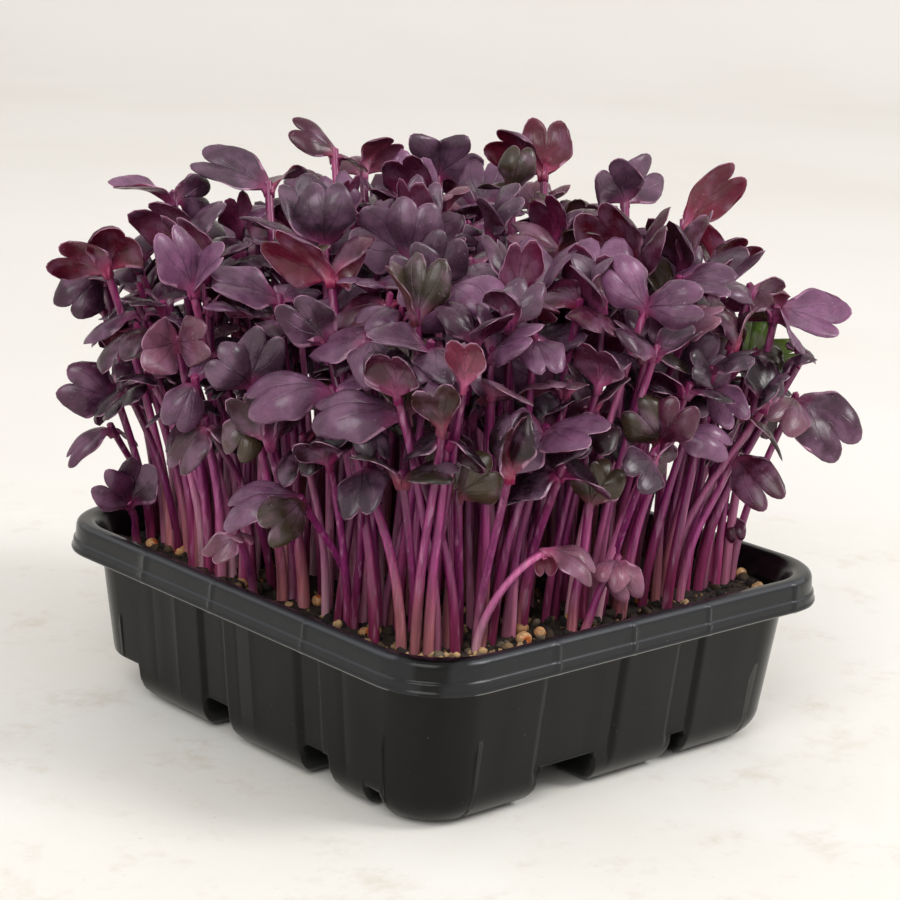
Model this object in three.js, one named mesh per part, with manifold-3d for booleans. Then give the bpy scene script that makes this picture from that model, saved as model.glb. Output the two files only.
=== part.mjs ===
// Radish microgreens growing in a small black nursery tray.
// Units are millimetres, +Z is up. The origin is the centre of the tray's underside, on the surface it
// stands on. The tray is one thermoformed sheet, the potting mix is one block that fills it, and every
// seedling is one solid: a stem that forks into two heart-shaped seed leaves.
import * as THREE from 'three';
import { mergeVertices } from 'three/addons/utils/BufferGeometryUtils.js';
import Module from 'manifold-3d';

const wasm = await Module();
wasm.setup();

// ---------------------------------------------------------------- driving dimensions: tray
const RIM_X = 120;             // rim, outside to outside along X
const RIM_Y = 128;             // rim, outside to outside along Y
const RIM_TOP = 38;            // height of the rim
const SKIRT_BOTTOM = 31.3;     // lower edge of the skirt that hangs from the rim
const SKIRT_SHEET = 1;         // thickness of the skirt
const CORNER_RADIUS = 15.5;    // plan radius of the rim's corners
const CORNER_TIGHTENING = 0.35; // shrinkage of that radius for each mm further in
const FILLET_TIGHTENING = 0.9; // the same where the wall turns into the base
const CORNER_STEPS = 4;        // facets in each rounded corner
const SHEET = 0.9;             // thickness of the plastic sheet
const LIP_INSET = 3.4;         // outside of the wall from the rim's outline, where it meets the rim
const KNEE = 33;               // below this height the wall leans in steadily to the base
const WALL_INSET_TOP = 5.1;    // outside of the wall from the rim's outline, at the knee
const WALL_INSET_BASE = 7.9;   // the same where the wall begins to turn into the base
const BASE_FILLET = 7.5;       // radius between wall and base
const FILLET_STEPS = 3;
const LIP_ROUND = 0.8;         // radius of the rim's inner edge

// Channels pressed up into the base for drainage: centre line, width and height.
const CHANNELS_ALONG_X = [
  { at: -22.6, width: 8.8, height: 8.4 },
  { at: 10.2, width: 8.6, height: 8.4 },
];
const CHANNELS_ALONG_Y = [{ at: -13.9, width: 16, height: 8.4 }, { at: 19, width: 5, height: 7.2 }];
// Pressings that only reach a little way in from both X faces: a nick near the front corners, and
// room under the back corners, whose feet stand further in.
const EDGE_PRESSINGS = [
  { at: -40, width: 5, height: 5.6, reach: 17 },
  { at: 51.2, width: 26.4, height: 8.4, reach: 24 },
];
// Shallow panels sunk into the walls, from the channels' height up to behind the skirt.
const PANEL_DEPTH = 0.8;
const PANEL_BOTTOM = 8.4;
const PANEL_TOP = 30;
const PANELS_ON_X_WALLS = [{ at: 10.5, width: 7.4 }, { at: -21.3, width: 6.2 }];
const PANELS_ON_Y_WALLS = [{ at: -12.4, width: 21.2 }, { at: 18.2, width: 6.2 }];
// Small upright ribs across the skirt.
const RIB_WIDTH = 1.2;
const RIB_PROUD = 0.45;
const RIBS_ON_X_SIDES = [27, 3.5, -26.4];
const RIBS_ON_Y_SIDES = [-26, -5, 17, 44];
const DRAIN_HOLE_RADIUS = 2;
const DRAIN_HOLE_SIDES = 8;
const OVERRUN = 8;             // how far a cutting shape runs past what it cuts

// ---------------------------------------------------------------- driving dimensions: contents
const SOIL_TOP = 31.5;         // level of the potting mix
const GAP = 0.3;               // clearance between pieces that follow each other's curves
const ROOT_DEPTH = 4;          // how deep each stem stands in the mix
const STEM_RADIUS = 1.15;
const STEM_SIDES = 5;
const STEM_STEPS = 3;
const LEAF_THICKNESS = 0.6;
const LEAF_CURL = 30;          // degrees that a blade bends down between its base and its tip
const LEAF_CUP = 0.12;         // rise of the margins, as a share of the blade's width
const LEAF_COLUMNS = 4;
const LEAF_ROWS = 2;
const COLUMN_SPREAD = 0.7;     // below 1 moves the columns out towards the margins
const NOTCH = 0.16;            // depth of the notch in the tip, as a share of the blade's length
const NECK = 0.1;              // half width of the leaf stalk, as a share of the blade's width
const SHOULDER = 0.68;         // how far along the blade it is widest

// Each seedling: the colour of its leaves; foot [x, y], where the stem leaves the mix; crown [x, y, z],
// where its leaves part; blade [length, width]; then for each of its two leaves [heading, rise, roll,
// size]. Heading is the leaf's direction in plan from +X, rise its angle above the horizon and roll its
// turn about its own midrib, in degrees; size is its share of the blade. A last [x, y, z] bows an
// arching stem.
const SEEDLINGS = {
  front: [
    ['lilac', [-35, -44], [-44, -35, 79.5], [18, 12.4], [135, 0, 30, 1.1], [45, 50, 0, 1]],
    ['lilac', [-42, -36], [-48, -18, 81.5], [18, 11], [140, -10, 30, 1.1], [-30, 20, -10, 0.6]],
    ['lilac', [-36, -14], [-53, -16, 59.5], [16.5, 10.6], [140, -10, 30, 1.1], [-160, -15, 50, 0.9]],
    ['lilac', [-25, -43], [-21, -51, 77.5], [14, 12], [-175, -10, 65, 1], [-85, 5, -25, 1]],
    ['lilac', [-15, -34], [-24, -24, 100.5], [15, 12], [-175, -15, 60, 1], [-85, 0, -25, 1]],
    ['olive', [-31, -40], [-37, -44, 65.5], [11, 10.1], [140, 75, 90, 1], [-65, 40, -95, 1]],
    ['lilac', [-14, -37], [-9, -39, 81.5], [17, 12], [120, 45, 70, 1.1], [10, 0, -20, 0.8]],
    ['mauve', [-29, -43], [-19, -53, 52.5], [12, 7.4], [-50, -25, -30, 1], [55, -65, 0, 0.6], [-6, -4, 8]],
    ['mauve', [-5, -49], [2, -51, 47.5], [9, 7.4], [-150, -25, 15, 1], [-85, -55, -50, 1]],
  ],
  left: [
    ['wine', [-41, 43], [-59, 44, 96.5], [13, 12], [175, 15, -45, 1], [-90, 45, 25, 1]],
    ['purple', [-36, 54], [-52, 56, 92.5], [13, 10.1], [-175, -35, 55, 1], [-95, 0, -15, 0.8]],
    ['lilac', [-38, 34], [-42, 44, 110.5], [14, 10.1], [160, 10, 0, 1], [15, -5, -85, 0.9]],
    ['lilac', [-36, 24], [-53, 22, 95.5], [14, 11], [165, 65, 70, 1], [-80, 45, -50, 0.9]],
    ['mauve', [-43, 26], [-56, 22, 84.5], [12, 11], [-165, 0, 75, 1], [-90, 15, -85, 0.9]],
    ['purple', [-41, 50], [-52, 49, 66.5], [13, 11], [150, 20, 80, 1], [15, 25, -50, 1]],
    ['purple', [-43, 52], [-51, 45, 43.5], [11, 9.2], [-180, 40, 105, 1], [-75, 70, -125, 1]],
    ['lilac', [-44, 20], [-58, 13, 78.5], [12, 8.3], [180, -60, 50, 1], [35, 25, 0, 0.7]],
    ['slate', [-41, -4], [-54, 1, 80.5], [12, 10.1], [180, 35, 105, 1], [-75, 65, -120, 1]],
    ['purple', [-45, -31], [-43, -10, 89.5], [12, 10.1], [155, 45, 90, 1], [100, 25, -10, 0.9]],
    ['lilac', [-38, 2], [-41, 8, 94.5], [15, 10.1], [150, 15, 35, 1], [20, 5, -20, 0.8]],
  ],
  middle: [
    ['slate', [-37, -7], [-28, 10, 105.5], [14.5, 12.4], [-160, 85, 150, 1], [115, 55, 35, 1]],
    ['wine', [-39, -18], [-36, -2, 100.5], [15, 12.9], [135, 30, -60, 1], [15, 25, 60, 1]],
    ['slate', [-26, -20], [-13, 0, 102.5], [14, 12], [-110, 75, -155, 1], [145, 30, 85, 1]],
    ['purple', [0, -36], [2, -31, 86.5], [14, 11], [-60, 25, 50, 1], [75, 15, 15, 1]],
    ['purple', [8, -30], [11, -26, 94.5], [15, 12], [125, 40, 35, 1], [-45, 55, -50, 1]],
    ['wine', [12, -38], [22, -31, 102.5], [16, 13.8], [140, 50, -60, 1], [-100, 50, -60, 1]],
    ['slate', [-3, -22], [8, -2, 106.5], [14, 11], [-160, 45, 40, 1], [-90, 50, -60, 1]],
    ['mauve', [16, -24], [18, -14, 102.5], [14, 12], [150, 25, 35, 1], [-75, 25, 45, 1]],
  ],
  right: [
    ['lilac', [-2, -42], [5, -51, 99.5], [14, 12], [145, 45, 90, 1], [-70, 10, -80, 1]],
    ['slate', [22, -36], [26, -43, 80.5], [14, 12.9], [160, 40, 100, 1], [-75, 40, -95, 1]],
    ['olive', [4, -44], [10, -53, 72.5], [12, 10.1], [165, 45, 105, 1], [-90, 55, -120, 1]],
    ['mauve', [50, -40], [56, -49, 74.5], [14, 12], [-155, -15, 25, 1], [-55, -40, -40, 1.2]],
    ['wine', [29, -44], [37, -50, 64.5], [15, 9.2], [-95, -30, -50, 1], [60, -5, 15, 0.8]],
    ['lilac', [9, -46], [17, -49, 71.5], [15, 8.3], [-45, -10, -30, 1], [95, -25, 0, 0.7]],
    ['green', [43, -42], [53, -37, 79.5], [13, 7.4], [-40, 20, -35, 1], [30, 65, -5, 1]],
    ['lilac', [50, -32], [60, -39, 92.5], [15, 12], [-60, -10, -30, 1], [-170, 20, -25, 0.9]],
    ['wine', [46, -37], [57, -23, 98.5], [11, 9.2], [-75, 40, 45, 1], [80, 40, -85, 1]],
    ['wine', [44, -30], [57, -12, 106.5], [16, 10.1], [-30, 45, 70, 1.1], [10, -15, -25, 0.8]],
  ],
  top: [
    ['slate', [-37, 7], [-22, 37, 112.5], [17, 12], [130, 20, 35, 1], [25, 5, 35, 0.8]],
    ['slate', [33, -23], [47, -3, 111.5], [13, 11], [-165, 40, 135, 1], [10, 30, -45, 1]],
    ['wine', [16, -15], [28, 4, 117.5], [15, 12], [130, 30, -60, 1], [45, 50, -170, 1]],
    ['wine', [-15, 14], [-3, 38, 118.5], [12, 9.2], [145, 30, 40, 1], [-20, -30, 0, 0.7]],
    ['mauve', [-4, 17], [7, 40, 113.5], [12, 9.2], [-50, 45, 55, 1], [75, 5, 15, 1]],
    ['slate', [16, 18], [29, 39, 112.5], [12, 11], [175, 30, 105, 1], [-75, 35, -105, 1]],
  ],
  back: [
    ['purple', [49, 2], [63, 4, 90.5], [14, 12], [-40, 15, 20, 1], [140, 25, -10, 0.9]],
    ['lilac', [47, 26], [60, 30, 101.5], [14, 12], [-60, 20, 15, 1], [115, 10, -20, 1]],
    ['wine', [45, 46], [57, 54, 88.5], [13, 12], [35, 5, 10, 1], [-145, 30, 0, 0.9]],
    ['slate', [30, 50], [36, 60, 97.5], [14, 12], [10, 15, 10, 1], [175, 5, -20, 1]],
    ['purple', [10, 50], [12, 62, 105.5], [14, 12], [70, 10, 0, 1], [-120, 25, 20, 0.9]],
    ['lilac', [-12, 50.5], [-14, 63, 94.5], [14, 12], [30, 15, -10, 1], [-160, 20, 15, 1]],
    ['olive', [-31, 50], [-34, 62, 84.5], [12, 11], [95, -10, 10, 1], [-60, 35, 0, 0.9]],
    ['mauve', [50, -20], [61, -22, 71.5], [13, 11], [-20, -15, 20, 1], [150, 30, 10, 0.9]],
    ['purple', [50, 40], [62, 44, 62.5], [12, 10], [20, -20, -15, 1], [-150, 30, 0, 0.8]],
  ],
};

// ---------------------------------------------------------------- materials
const LOOKS = {
  plastic: { color: '#1b1c1e', roughness: 0.5 },
  mix: { color: '#231a14', roughness: 0.95 },
  lilac: { color: '#8a7290', roughness: 0.45 },
  slate: { color: '#67607a', roughness: 0.45 },
  purple: { color: '#4d3150', roughness: 0.45 },
  wine: { color: '#702f46', roughness: 0.45 },
  mauve: { color: '#96697a', roughness: 0.45 },
  olive: { color: '#756b4b', roughness: 0.45 },
  green: { color: '#5f8a35', roughness: 0.45 },
};

function material({ color, roughness }) {
  return new THREE.MeshStandardMaterial({ color, roughness, metalness: 0 });
}

// ---------------------------------------------------------------- solids and meshes

// A manifold solid from any closed three.js geometry.
function solidOf(geometry) {
  const bare = geometry.clone();
  bare.deleteAttribute('normal');
  bare.deleteAttribute('uv');
  const merged = mergeVertices(bare, 1e-4);
  const vertProperties = new Float32Array(merged.attributes.position.array);
  const triVerts = new Uint32Array(merged.index.array);
  return new wasm.Manifold(new wasm.Mesh({ numProp: 3, vertProperties, triVerts }));
}

// A three.js geometry from a manifold solid.
function geometryOf(solid) {
  const { vertProperties, triVerts } = solid.getMesh();
  const geometry = new THREE.BufferGeometry();
  geometry.setAttribute('position', new THREE.BufferAttribute(new Float32Array(vertProperties), 3));
  geometry.setIndex(new THREE.BufferAttribute(new Uint32Array(triVerts), 1));
  return geometry;
}

function namedMesh(name, geometry, look) {
  const mesh = new THREE.Mesh(geometry, material(look));
  mesh.name = name;
  return mesh;
}

// A box between two corners.
function blockSolid(low, high) {
  const size = high.map((value, axis) => value - low[axis]);
  const box = new THREE.BoxGeometry(...size);
  box.translate(...high.map((value, axis) => (value + low[axis]) / 2));
  return solidOf(box);
}

// The rounded-rectangle outline that lies a given distance inside the rim's outline.
function outlineAt(inset, z) {
  const rounding = Math.max(inset - WALL_INSET_BASE, 0);
  const leaning = inset - rounding;
  const radius = CORNER_RADIUS - leaning * CORNER_TIGHTENING - rounding * FILLET_TIGHTENING;
  const centreX = RIM_X / 2 - inset - radius;
  const centreY = RIM_Y / 2 - inset - radius;
  const points = [];
  for (const [signX, signY, start] of [[1, 1, 0], [-1, 1, 90], [-1, -1, 180], [1, -1, 270]]) {
    for (let step = 0; step <= CORNER_STEPS; step += 1) {
      const angle = THREE.MathUtils.degToRad(start + 90 * step / CORNER_STEPS);
      const x = signX * centreX + radius * Math.cos(angle);
      const y = signY * centreY + radius * Math.sin(angle);
      points.push(new THREE.Vector3(x, y, z));
    }
  }
  return points;
}

// A solid through a stack of such outlines, given as [inset, z] from the bottom up, with flat ends.
function stackSolid(levels) {
  const rings = levels.map(([inset, z]) => outlineAt(inset, z));
  const count = rings[0].length;
  const points = rings.flat();
  const bottomCentre = points.push(new THREE.Vector3(0, 0, levels[0][1])) - 1;
  const topCentre = points.push(new THREE.Vector3(0, 0, levels[levels.length - 1][1])) - 1;
  const lastRing = (rings.length - 1) * count;
  const triangles = [];
  for (let corner = 0; corner < count; corner += 1) {
    const next = (corner + 1) % count;
    triangles.push(bottomCentre, next, corner);
    triangles.push(topCentre, lastRing + corner, lastRing + next);
    for (let ring = 0; ring < lastRing; ring += count) {
      triangles.push(ring + corner, ring + next, ring + count + next);
      triangles.push(ring + corner, ring + count + next, ring + count + corner);
    }
  }
  const geometry = new THREE.BufferGeometry().setFromPoints(points);
  geometry.setIndex(triangles);
  return solidOf(geometry);
}

// ---------------------------------------------------------------- tray

// The wall leans in from the knee down to the base's fillet, and out from the knee up to the rim.
function wallInset(z) {
  const { mapLinear } = THREE.MathUtils;
  if (z > KNEE) return mapLinear(z, KNEE, RIM_TOP, WALL_INSET_TOP, LIP_INSET);
  return mapLinear(z, BASE_FILLET, KNEE, WALL_INSET_BASE, WALL_INSET_TOP);
}

// The tray's body, shrunk by `skin` all round: base, fillet and leaning wall up to `top`.
function bodyLevels(skin, top) {
  const radius = BASE_FILLET - skin;
  const centreInset = WALL_INSET_BASE + BASE_FILLET;
  const levels = [];
  for (let step = 0; step <= FILLET_STEPS; step += 1) {
    const angle = Math.PI / 2 * step / FILLET_STEPS;
    levels.push([centreInset - radius * Math.sin(angle), BASE_FILLET - radius * Math.cos(angle)]);
  }
  if (top > KNEE) levels.push([WALL_INSET_TOP + skin, KNEE]);
  levels.push([wallInset(top) + skin, top]);
  return levels;
}

// A block against the X faces (axis 0) or Y faces (axis 1), on the given side. It is as long as the
// feature there widened by `skin`, goes `depth` in from the rim's outline and fills `heights`.
function blockAt([axis, side], depth, { at, width }, skin, heights) {
  const half = (axis === 0 ? RIM_X : RIM_Y) / 2;
  const reach = width / 2 + skin;
  const low = [at - reach, at - reach, heights[0]];
  const high = [at + reach, at + reach, heights[1]];
  low[axis] = Math.min(side * half, side * (half - depth));
  high[axis] = Math.max(side * half, side * (half - depth));
  return blockSolid(low, high);
}

// The drainage channels and the pressings at the base's edge, widened by `skin`.
function channels(skin) {
  const blocks = [];
  const add = (face, depth, place) => {
    blocks.push(blockAt(face, depth, place, skin, [-OVERRUN, place.height + skin]));
  };
  CHANNELS_ALONG_X.forEach((channel) => add([0, 1], RIM_X, channel));
  CHANNELS_ALONG_Y.forEach((channel) => add([1, 1], RIM_Y, channel));
  for (const side of [-1, 1]) {
    EDGE_PRESSINGS.forEach((place) => add([0, side], place.reach + skin, place));
  }
  return wasm.Manifold.union(blocks);
}

// The panels sunk into the walls, widened by `skin`. Their faces lean with the walls.
function panels(skin) {
  const depth = WALL_INSET_BASE + BASE_FILLET;
  const heights = [PANEL_BOTTOM - skin, PANEL_TOP + skin];
  const blocks = [];
  for (const side of [-1, 1]) {
    for (const panel of PANELS_ON_X_WALLS) blocks.push(blockAt([0, side], depth, panel, skin, heights));
    for (const panel of PANELS_ON_Y_WALLS) blocks.push(blockAt([1, side], depth, panel, skin, heights));
  }
  const behind = stackSolid(bodyLevels(PANEL_DEPTH + skin, RIM_TOP));
  return wasm.Manifold.union(blocks).subtract(behind);
}

// Everything pressed into the tray from outside, widened by `skin`.
function pressings(skin) {
  return channels(skin).add(panels(skin));
}

// The rim: a rounded lip with a stepped skirt, hollow between the skirt and the wall.
function rimSolid(body) {
  const lip = stackSolid([
    [0, SKIRT_BOTTOM],
    [0.15, SKIRT_BOTTOM + 2.4],
    [0.6, SKIRT_BOTTOM + 2.7],
    [0.8, RIM_TOP - 1.1],
    [1.2, RIM_TOP - 0.4],
    [2, RIM_TOP],
  ]);
  const hollow = stackSolid([
    [SKIRT_SHEET, SKIRT_BOTTOM - OVERRUN],
    [SKIRT_SHEET + 0.1, SKIRT_BOTTOM + 2.6],
    [SKIRT_SHEET + 0.8, RIM_TOP - 2],
    [SKIRT_SHEET + 1.6, RIM_TOP - SHEET],
  ]);
  return lip.subtract(hollow.subtract(body));
}

// Ribs standing on the skirt, out to just short of the rim's outline.
function skirtRibs() {
  const shy = 0.1;
  const reach = shy + RIB_PROUD + SKIRT_SHEET / 2;
  const ribs = [];
  for (const side of [-1, 1]) {
    for (const [axis, places] of [[0, RIBS_ON_X_SIDES], [1, RIBS_ON_Y_SIDES]]) {
      const half = (axis === 0 ? RIM_X : RIM_Y) / 2;
      for (const at of places) {
        const low = [at - RIB_WIDTH / 2, at - RIB_WIDTH / 2, SKIRT_BOTTOM];
        const high = [at + RIB_WIDTH / 2, at + RIB_WIDTH / 2, RIM_TOP - 1];
        low[axis] = Math.min(side * (half - shy), side * (half - reach));
        high[axis] = Math.max(side * (half - shy), side * (half - reach));
        ribs.push(blockSolid(low, high));
      }
    }
  }
  return wasm.Manifold.union(ribs);
}

// Round holes through the raised floor, where the channels cross.
function drainHoles() {
  const holes = [];
  for (const { at: y, height } of CHANNELS_ALONG_X) {
    for (const { at: x } of CHANNELS_ALONG_Y) {
      const radius = DRAIN_HOLE_RADIUS;
      const hole = new THREE.CylinderGeometry(radius, radius, OVERRUN, DRAIN_HOLE_SIDES);
      hole.rotateX(Math.PI / 2);
      hole.translate(x, y, height);
      holes.push(solidOf(hole));
    }
  }
  return wasm.Manifold.union(holes);
}

// The space inside the tray, open upwards, with the lip's inner edge rounded.
function traySpace() {
  const levels = bodyLevels(SHEET, RIM_TOP - LIP_ROUND);
  const inset = levels[levels.length - 1][0];
  levels.push([inset - LIP_ROUND * 0.3, RIM_TOP - LIP_ROUND * 0.3]);
  levels.push([inset - LIP_ROUND, RIM_TOP]);
  levels.push([inset - LIP_ROUND, RIM_TOP + OVERRUN]);
  return stackSolid(levels).subtract(pressings(SHEET));
}

function trayGeometry() {
  const body = stackSolid(bodyLevels(0, RIM_TOP - SHEET / 2));
  const outside = body.subtract(pressings(0)).add(rimSolid(body)).add(skirtRibs());
  return geometryOf(outside.subtract(traySpace()).subtract(drainHoles()));
}

// ---------------------------------------------------------------- seedlings

function vector([x, y, z]) {
  return new THREE.Vector3(x, y, z);
}

// The stem's centre line: it leaves its socket upright and then leans out to the crown.
function stemPath(foot, crown, bow) {
  const start = new THREE.Vector3(foot[0], foot[1], SOIL_TOP - ROOT_DEPTH);
  const end = vector(crown);
  const rise = end.clone().sub(start);
  const lower = start.clone().add(new THREE.Vector3(0, 0, 0.4 * rise.z));
  const upper = start.clone().add(rise.multiply(new THREE.Vector3(0.58, 0.58, 0.7))).add(vector(bow));
  return new THREE.CubicBezierCurve3(start, lower, upper, end);
}

function stemSolid(path, radius) {
  const section = new THREE.Shape();
  for (let side = 0; side < STEM_SIDES; side += 1) {
    const angle = 2 * Math.PI * side / STEM_SIDES;
    const corner = [radius * Math.cos(angle), radius * Math.sin(angle)];
    if (side === 0) section.moveTo(...corner);
    else section.lineTo(...corner);
  }
  section.closePath();
  return solidOf(new THREE.ExtrudeGeometry(section, { steps: STEM_STEPS, extrudePath: path }));
}

// How far along the blade its tip lies at `across` (-1 to 1): two round lobes with a notch between.
function tipAt(across) {
  const fromMiddle = Math.abs(across);
  if (fromMiddle < 0.5) return 1 - NOTCH * (1 - fromMiddle / 0.5) ** 1.5;
  return SHOULDER + (1 - SHOULDER) * Math.sqrt(1 - ((fromMiddle - 0.5) / 0.5) ** 2);
}

// Half the blade's width at `along` (0 to 1), as a share of its greatest width.
function halfWidthAt(along) {
  const opened = THREE.MathUtils.clamp((along - 0.12) / 0.75, 0, 1);
  return NECK + (0.5 - NECK) * Math.sin(Math.PI / 2 * opened) ** 1.25;
}

// One seed leaf: a thin plate bent along a circular midrib, its margins cupped upwards.
function leafSolid(root, [length, width], angles) {
  const [heading, rise, roll, curl] = [...angles, LEAF_CURL].map(THREE.MathUtils.degToRad);
  const level = Math.cos(rise);
  const chord = new THREE.Vector3(level * Math.cos(heading), level * Math.sin(heading), Math.sin(rise));
  const side = new THREE.Vector3(Math.sin(heading), -Math.cos(heading), 0).applyAxisAngle(chord, -roll);
  const face = side.clone().cross(chord);
  const plate = new THREE.BoxGeometry(2, 1, 1, LEAF_COLUMNS, LEAF_ROWS, 1);
  const position = plate.attributes.position;
  for (let i = 0; i < position.count; i += 1) {
    const column = position.getX(i);
    const across = Math.sign(column) * Math.abs(column) ** COLUMN_SPREAD;
    const row = position.getY(i) + 0.5;
    const turned = curl * (0.5 - row * tipAt(across));
    const forward = (Math.sin(curl / 2) - Math.sin(turned)) / curl * length;
    const upward = (Math.cos(turned) - Math.cos(curl / 2)) / curl * length;
    const tangent = chord.clone().multiplyScalar(Math.cos(turned)).addScaledVector(face, Math.sin(turned));
    const offset = across * halfWidthAt(row) * width;
    const lift = LEAF_CUP * 2 * offset ** 2 / width + position.getZ(i) * LEAF_THICKNESS;
    const point = root.clone().addScaledVector(chord, forward).addScaledVector(face, upward);
    point.addScaledVector(side, offset).addScaledVector(side.clone().cross(tangent), lift);
    position.setXYZ(i, point.x, point.y, point.z);
  }
  return solidOf(plate);
}

function seedlingGeometry(path, blade, leaves) {
  const leafRoot = path.getPoint(1).addScaledVector(path.getTangent(1), -STEM_RADIUS);
  const parts = leaves.map(([heading, rise, roll, share]) => {
    const size = blade.map((measure) => measure * share);
    return leafSolid(leafRoot, size, [heading, rise, roll]);
  });
  parts.push(stemSolid(path, STEM_RADIUS));
  return geometryOf(wasm.Manifold.union(parts));
}

// ---------------------------------------------------------------- growing medium

// The potting mix fills the tray a little short of its walls, with a socket for each stem.
function mediumGeometry(paths) {
  const levels = bodyLevels(SHEET + GAP, SOIL_TOP);
  levels.unshift([levels[0][0], SHEET]);
  const sockets = paths.map((path) => stemSolid(path, STEM_RADIUS + GAP));
  const block = stackSolid(levels).subtract(pressings(SHEET + GAP));
  return geometryOf(block.subtract(wasm.Manifold.union(sockets)));
}

// ---------------------------------------------------------------- assembly

const planting = new THREE.Group();
const paths = [];
for (const [region, rows] of Object.entries(SEEDLINGS)) {
  rows.forEach(([colour, foot, crown, blade, leafA, leafB, bow = [0, 0, 0]], index) => {
    const path = stemPath(foot, crown, bow);
    const geometry = seedlingGeometry(path, blade, [leafA, leafB]);
    paths.push(path);
    planting.add(namedMesh(`seedling_${region}_${index + 1}`, geometry, LOOKS[colour]));
  });
}
planting.add(namedMesh('growing_medium', mediumGeometry(paths), LOOKS.mix));

const microgreens = new THREE.Group();
microgreens.add(namedMesh('tray', trayGeometry(), LOOKS.plastic), planting);

export default microgreens;
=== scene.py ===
import itertools
import math

import bpy
import numpy as np
from mathutils import Matrix, Vector, noise


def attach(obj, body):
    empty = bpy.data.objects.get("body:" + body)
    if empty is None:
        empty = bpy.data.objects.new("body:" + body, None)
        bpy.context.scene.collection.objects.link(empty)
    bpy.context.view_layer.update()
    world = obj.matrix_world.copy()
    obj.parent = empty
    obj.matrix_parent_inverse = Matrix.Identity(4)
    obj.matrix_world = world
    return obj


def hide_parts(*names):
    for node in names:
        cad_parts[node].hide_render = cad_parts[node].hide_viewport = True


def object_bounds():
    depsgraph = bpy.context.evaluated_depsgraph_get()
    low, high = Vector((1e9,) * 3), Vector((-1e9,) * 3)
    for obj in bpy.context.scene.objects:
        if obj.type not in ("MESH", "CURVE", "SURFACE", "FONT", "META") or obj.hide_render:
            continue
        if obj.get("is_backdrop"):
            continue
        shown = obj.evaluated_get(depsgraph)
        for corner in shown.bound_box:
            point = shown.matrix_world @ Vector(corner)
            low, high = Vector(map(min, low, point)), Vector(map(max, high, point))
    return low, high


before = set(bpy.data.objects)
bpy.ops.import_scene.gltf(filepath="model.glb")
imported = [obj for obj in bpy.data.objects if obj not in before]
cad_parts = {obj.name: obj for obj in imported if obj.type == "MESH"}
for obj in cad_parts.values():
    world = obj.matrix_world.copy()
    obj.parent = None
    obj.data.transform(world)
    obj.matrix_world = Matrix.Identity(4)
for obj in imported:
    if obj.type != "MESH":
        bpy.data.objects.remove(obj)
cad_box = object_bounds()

MM = 0.001

# ---------------------------------------------------------------- tray dimensions
RIM_X = 120
RIM_Y = 128
RIM_TOP = 38
SKIRT_BOTTOM = 31.3
CORNER_RADIUS = 15.5
CORNER_TIGHTENING = 0.35       # shrinkage of that radius for each mm further in
FILLET_TIGHTENING = 0.9        # the same where the wall turns into the base
SHEET = 0.9
LIP_INSET = 3.4                # outside of the wall, where it meets the rim
KNEE = 33                      # below this height the wall leans in steadily to the base
WALL_INSET_TOP = 5.1
WALL_INSET_BASE = 7.9
BASE_FILLET = 7.5
FLOOR_INSET = WALL_INSET_BASE + BASE_FILLET
GRID_INSET = 19.9              # where the floor's rings give way to a square grid
CORNER_STEPS = 18
SIDE_END_STEPS = 10
SIDE_STEP = 3                  # plain spacing of sample points along a side
EDGE_SHIFTS = (0.14, 0.42, 0.85, 1.7, 2.8)    # extra points on both sides of a pressed edge
LINE_SHIFTS = (-0.8, -0.4, 0, 0.4, 0.8)       # extra points across a rib or a mould line
CLOSEST = 0.26                 # extra points closer than this are left out
# Pressed up into the base: centre line, width and height.
CHANNELS_ALONG_X = [(-22.6, 8.8, 8.4), (10.2, 8.6, 8.4)]
CHANNELS_ALONG_Y = [(-13.9, 16, 8.4), (19, 5, 7.2)]
EDGE_PRESSINGS = [(-40, 5, 5.6, 17), (51.2, 26.4, 8.4, 24)]  # and reach in from the X faces
FOOT_ROUNDING = 0.48           # radius of a foot's lower edges, as a share of the channel's height
PANEL_DEPTH = 0.8
PANEL_BOTTOM = 8.4
PANEL_TOP = 30
PANELS_ON_X_WALLS = [(10.5, 7.4), (-21.3, 6.2)]
PANELS_ON_Y_WALLS = [(-12.4, 21.2), (18.2, 6.2)]
GROOVE_DEPTH = 0.3             # of the line round each panel
RIB_WIDTH = 1.2
RIB_PROUD = 0.45
RIBS_ON_X_SIDES = [27, 3.5, -26.4]
RIBS_ON_Y_SIDES = [-26, -5, 17, 44]
DRAIN_HOLE_RADIUS = 2
DRAIN_HOLE_SIDES = 32
DRILL_REACH = 4                # how far the drills run above and below the floor that they cut
EDGE_SOFTNESS = 0.8            # how far a pressed edge takes to turn
# Fine upright lines that the mould left in the long walls: place, height and width.
MOULD_LINES = [(-32.3, -0.12, 0.7), (-2.8, 0.08, 0.6), (1.6, -0.08, 0.6), (22.8, 0.1, 0.6), (31, -0.08, 0.8)]
# The skirt's outer face from its lower edge up to the top of the rim, and its inner face, as distances in
# from the rim's outline and up from the skirt's edge; the rounded lip, as distances in and down from the
# top of the rim.
SKIRT_PROFILE = [(0.3, 0), (0.08, 0.12), (0, 0.4), (0.04, 0.75), (0.2, 0.95), (0.24, 1.2), (0.27, 1.9),
                 (0.32, 2.3), (0.46, 2.55), (0.62, 2.7), (0.68, 3), (0.74, 4.2), (0.8, 5.3), (0.92, 5.8),
                 (1.15, 6.2), (1.45, 6.47), (1.8, 6.62), (2.2, 6.7), (2.8, 6.7)]
SKIRT_INSIDE = [(1, 0), (1.05, 1.2), (1.12, 2.5), (1.5, 3.8), (2, 5), (2.6, 5.6)]
LIP_PROFILE = [(3.25, 0.03), (3.65, 0.16), (4.02, 0.42), (4.3, 0.8), (4.55, 1.15)]
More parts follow.
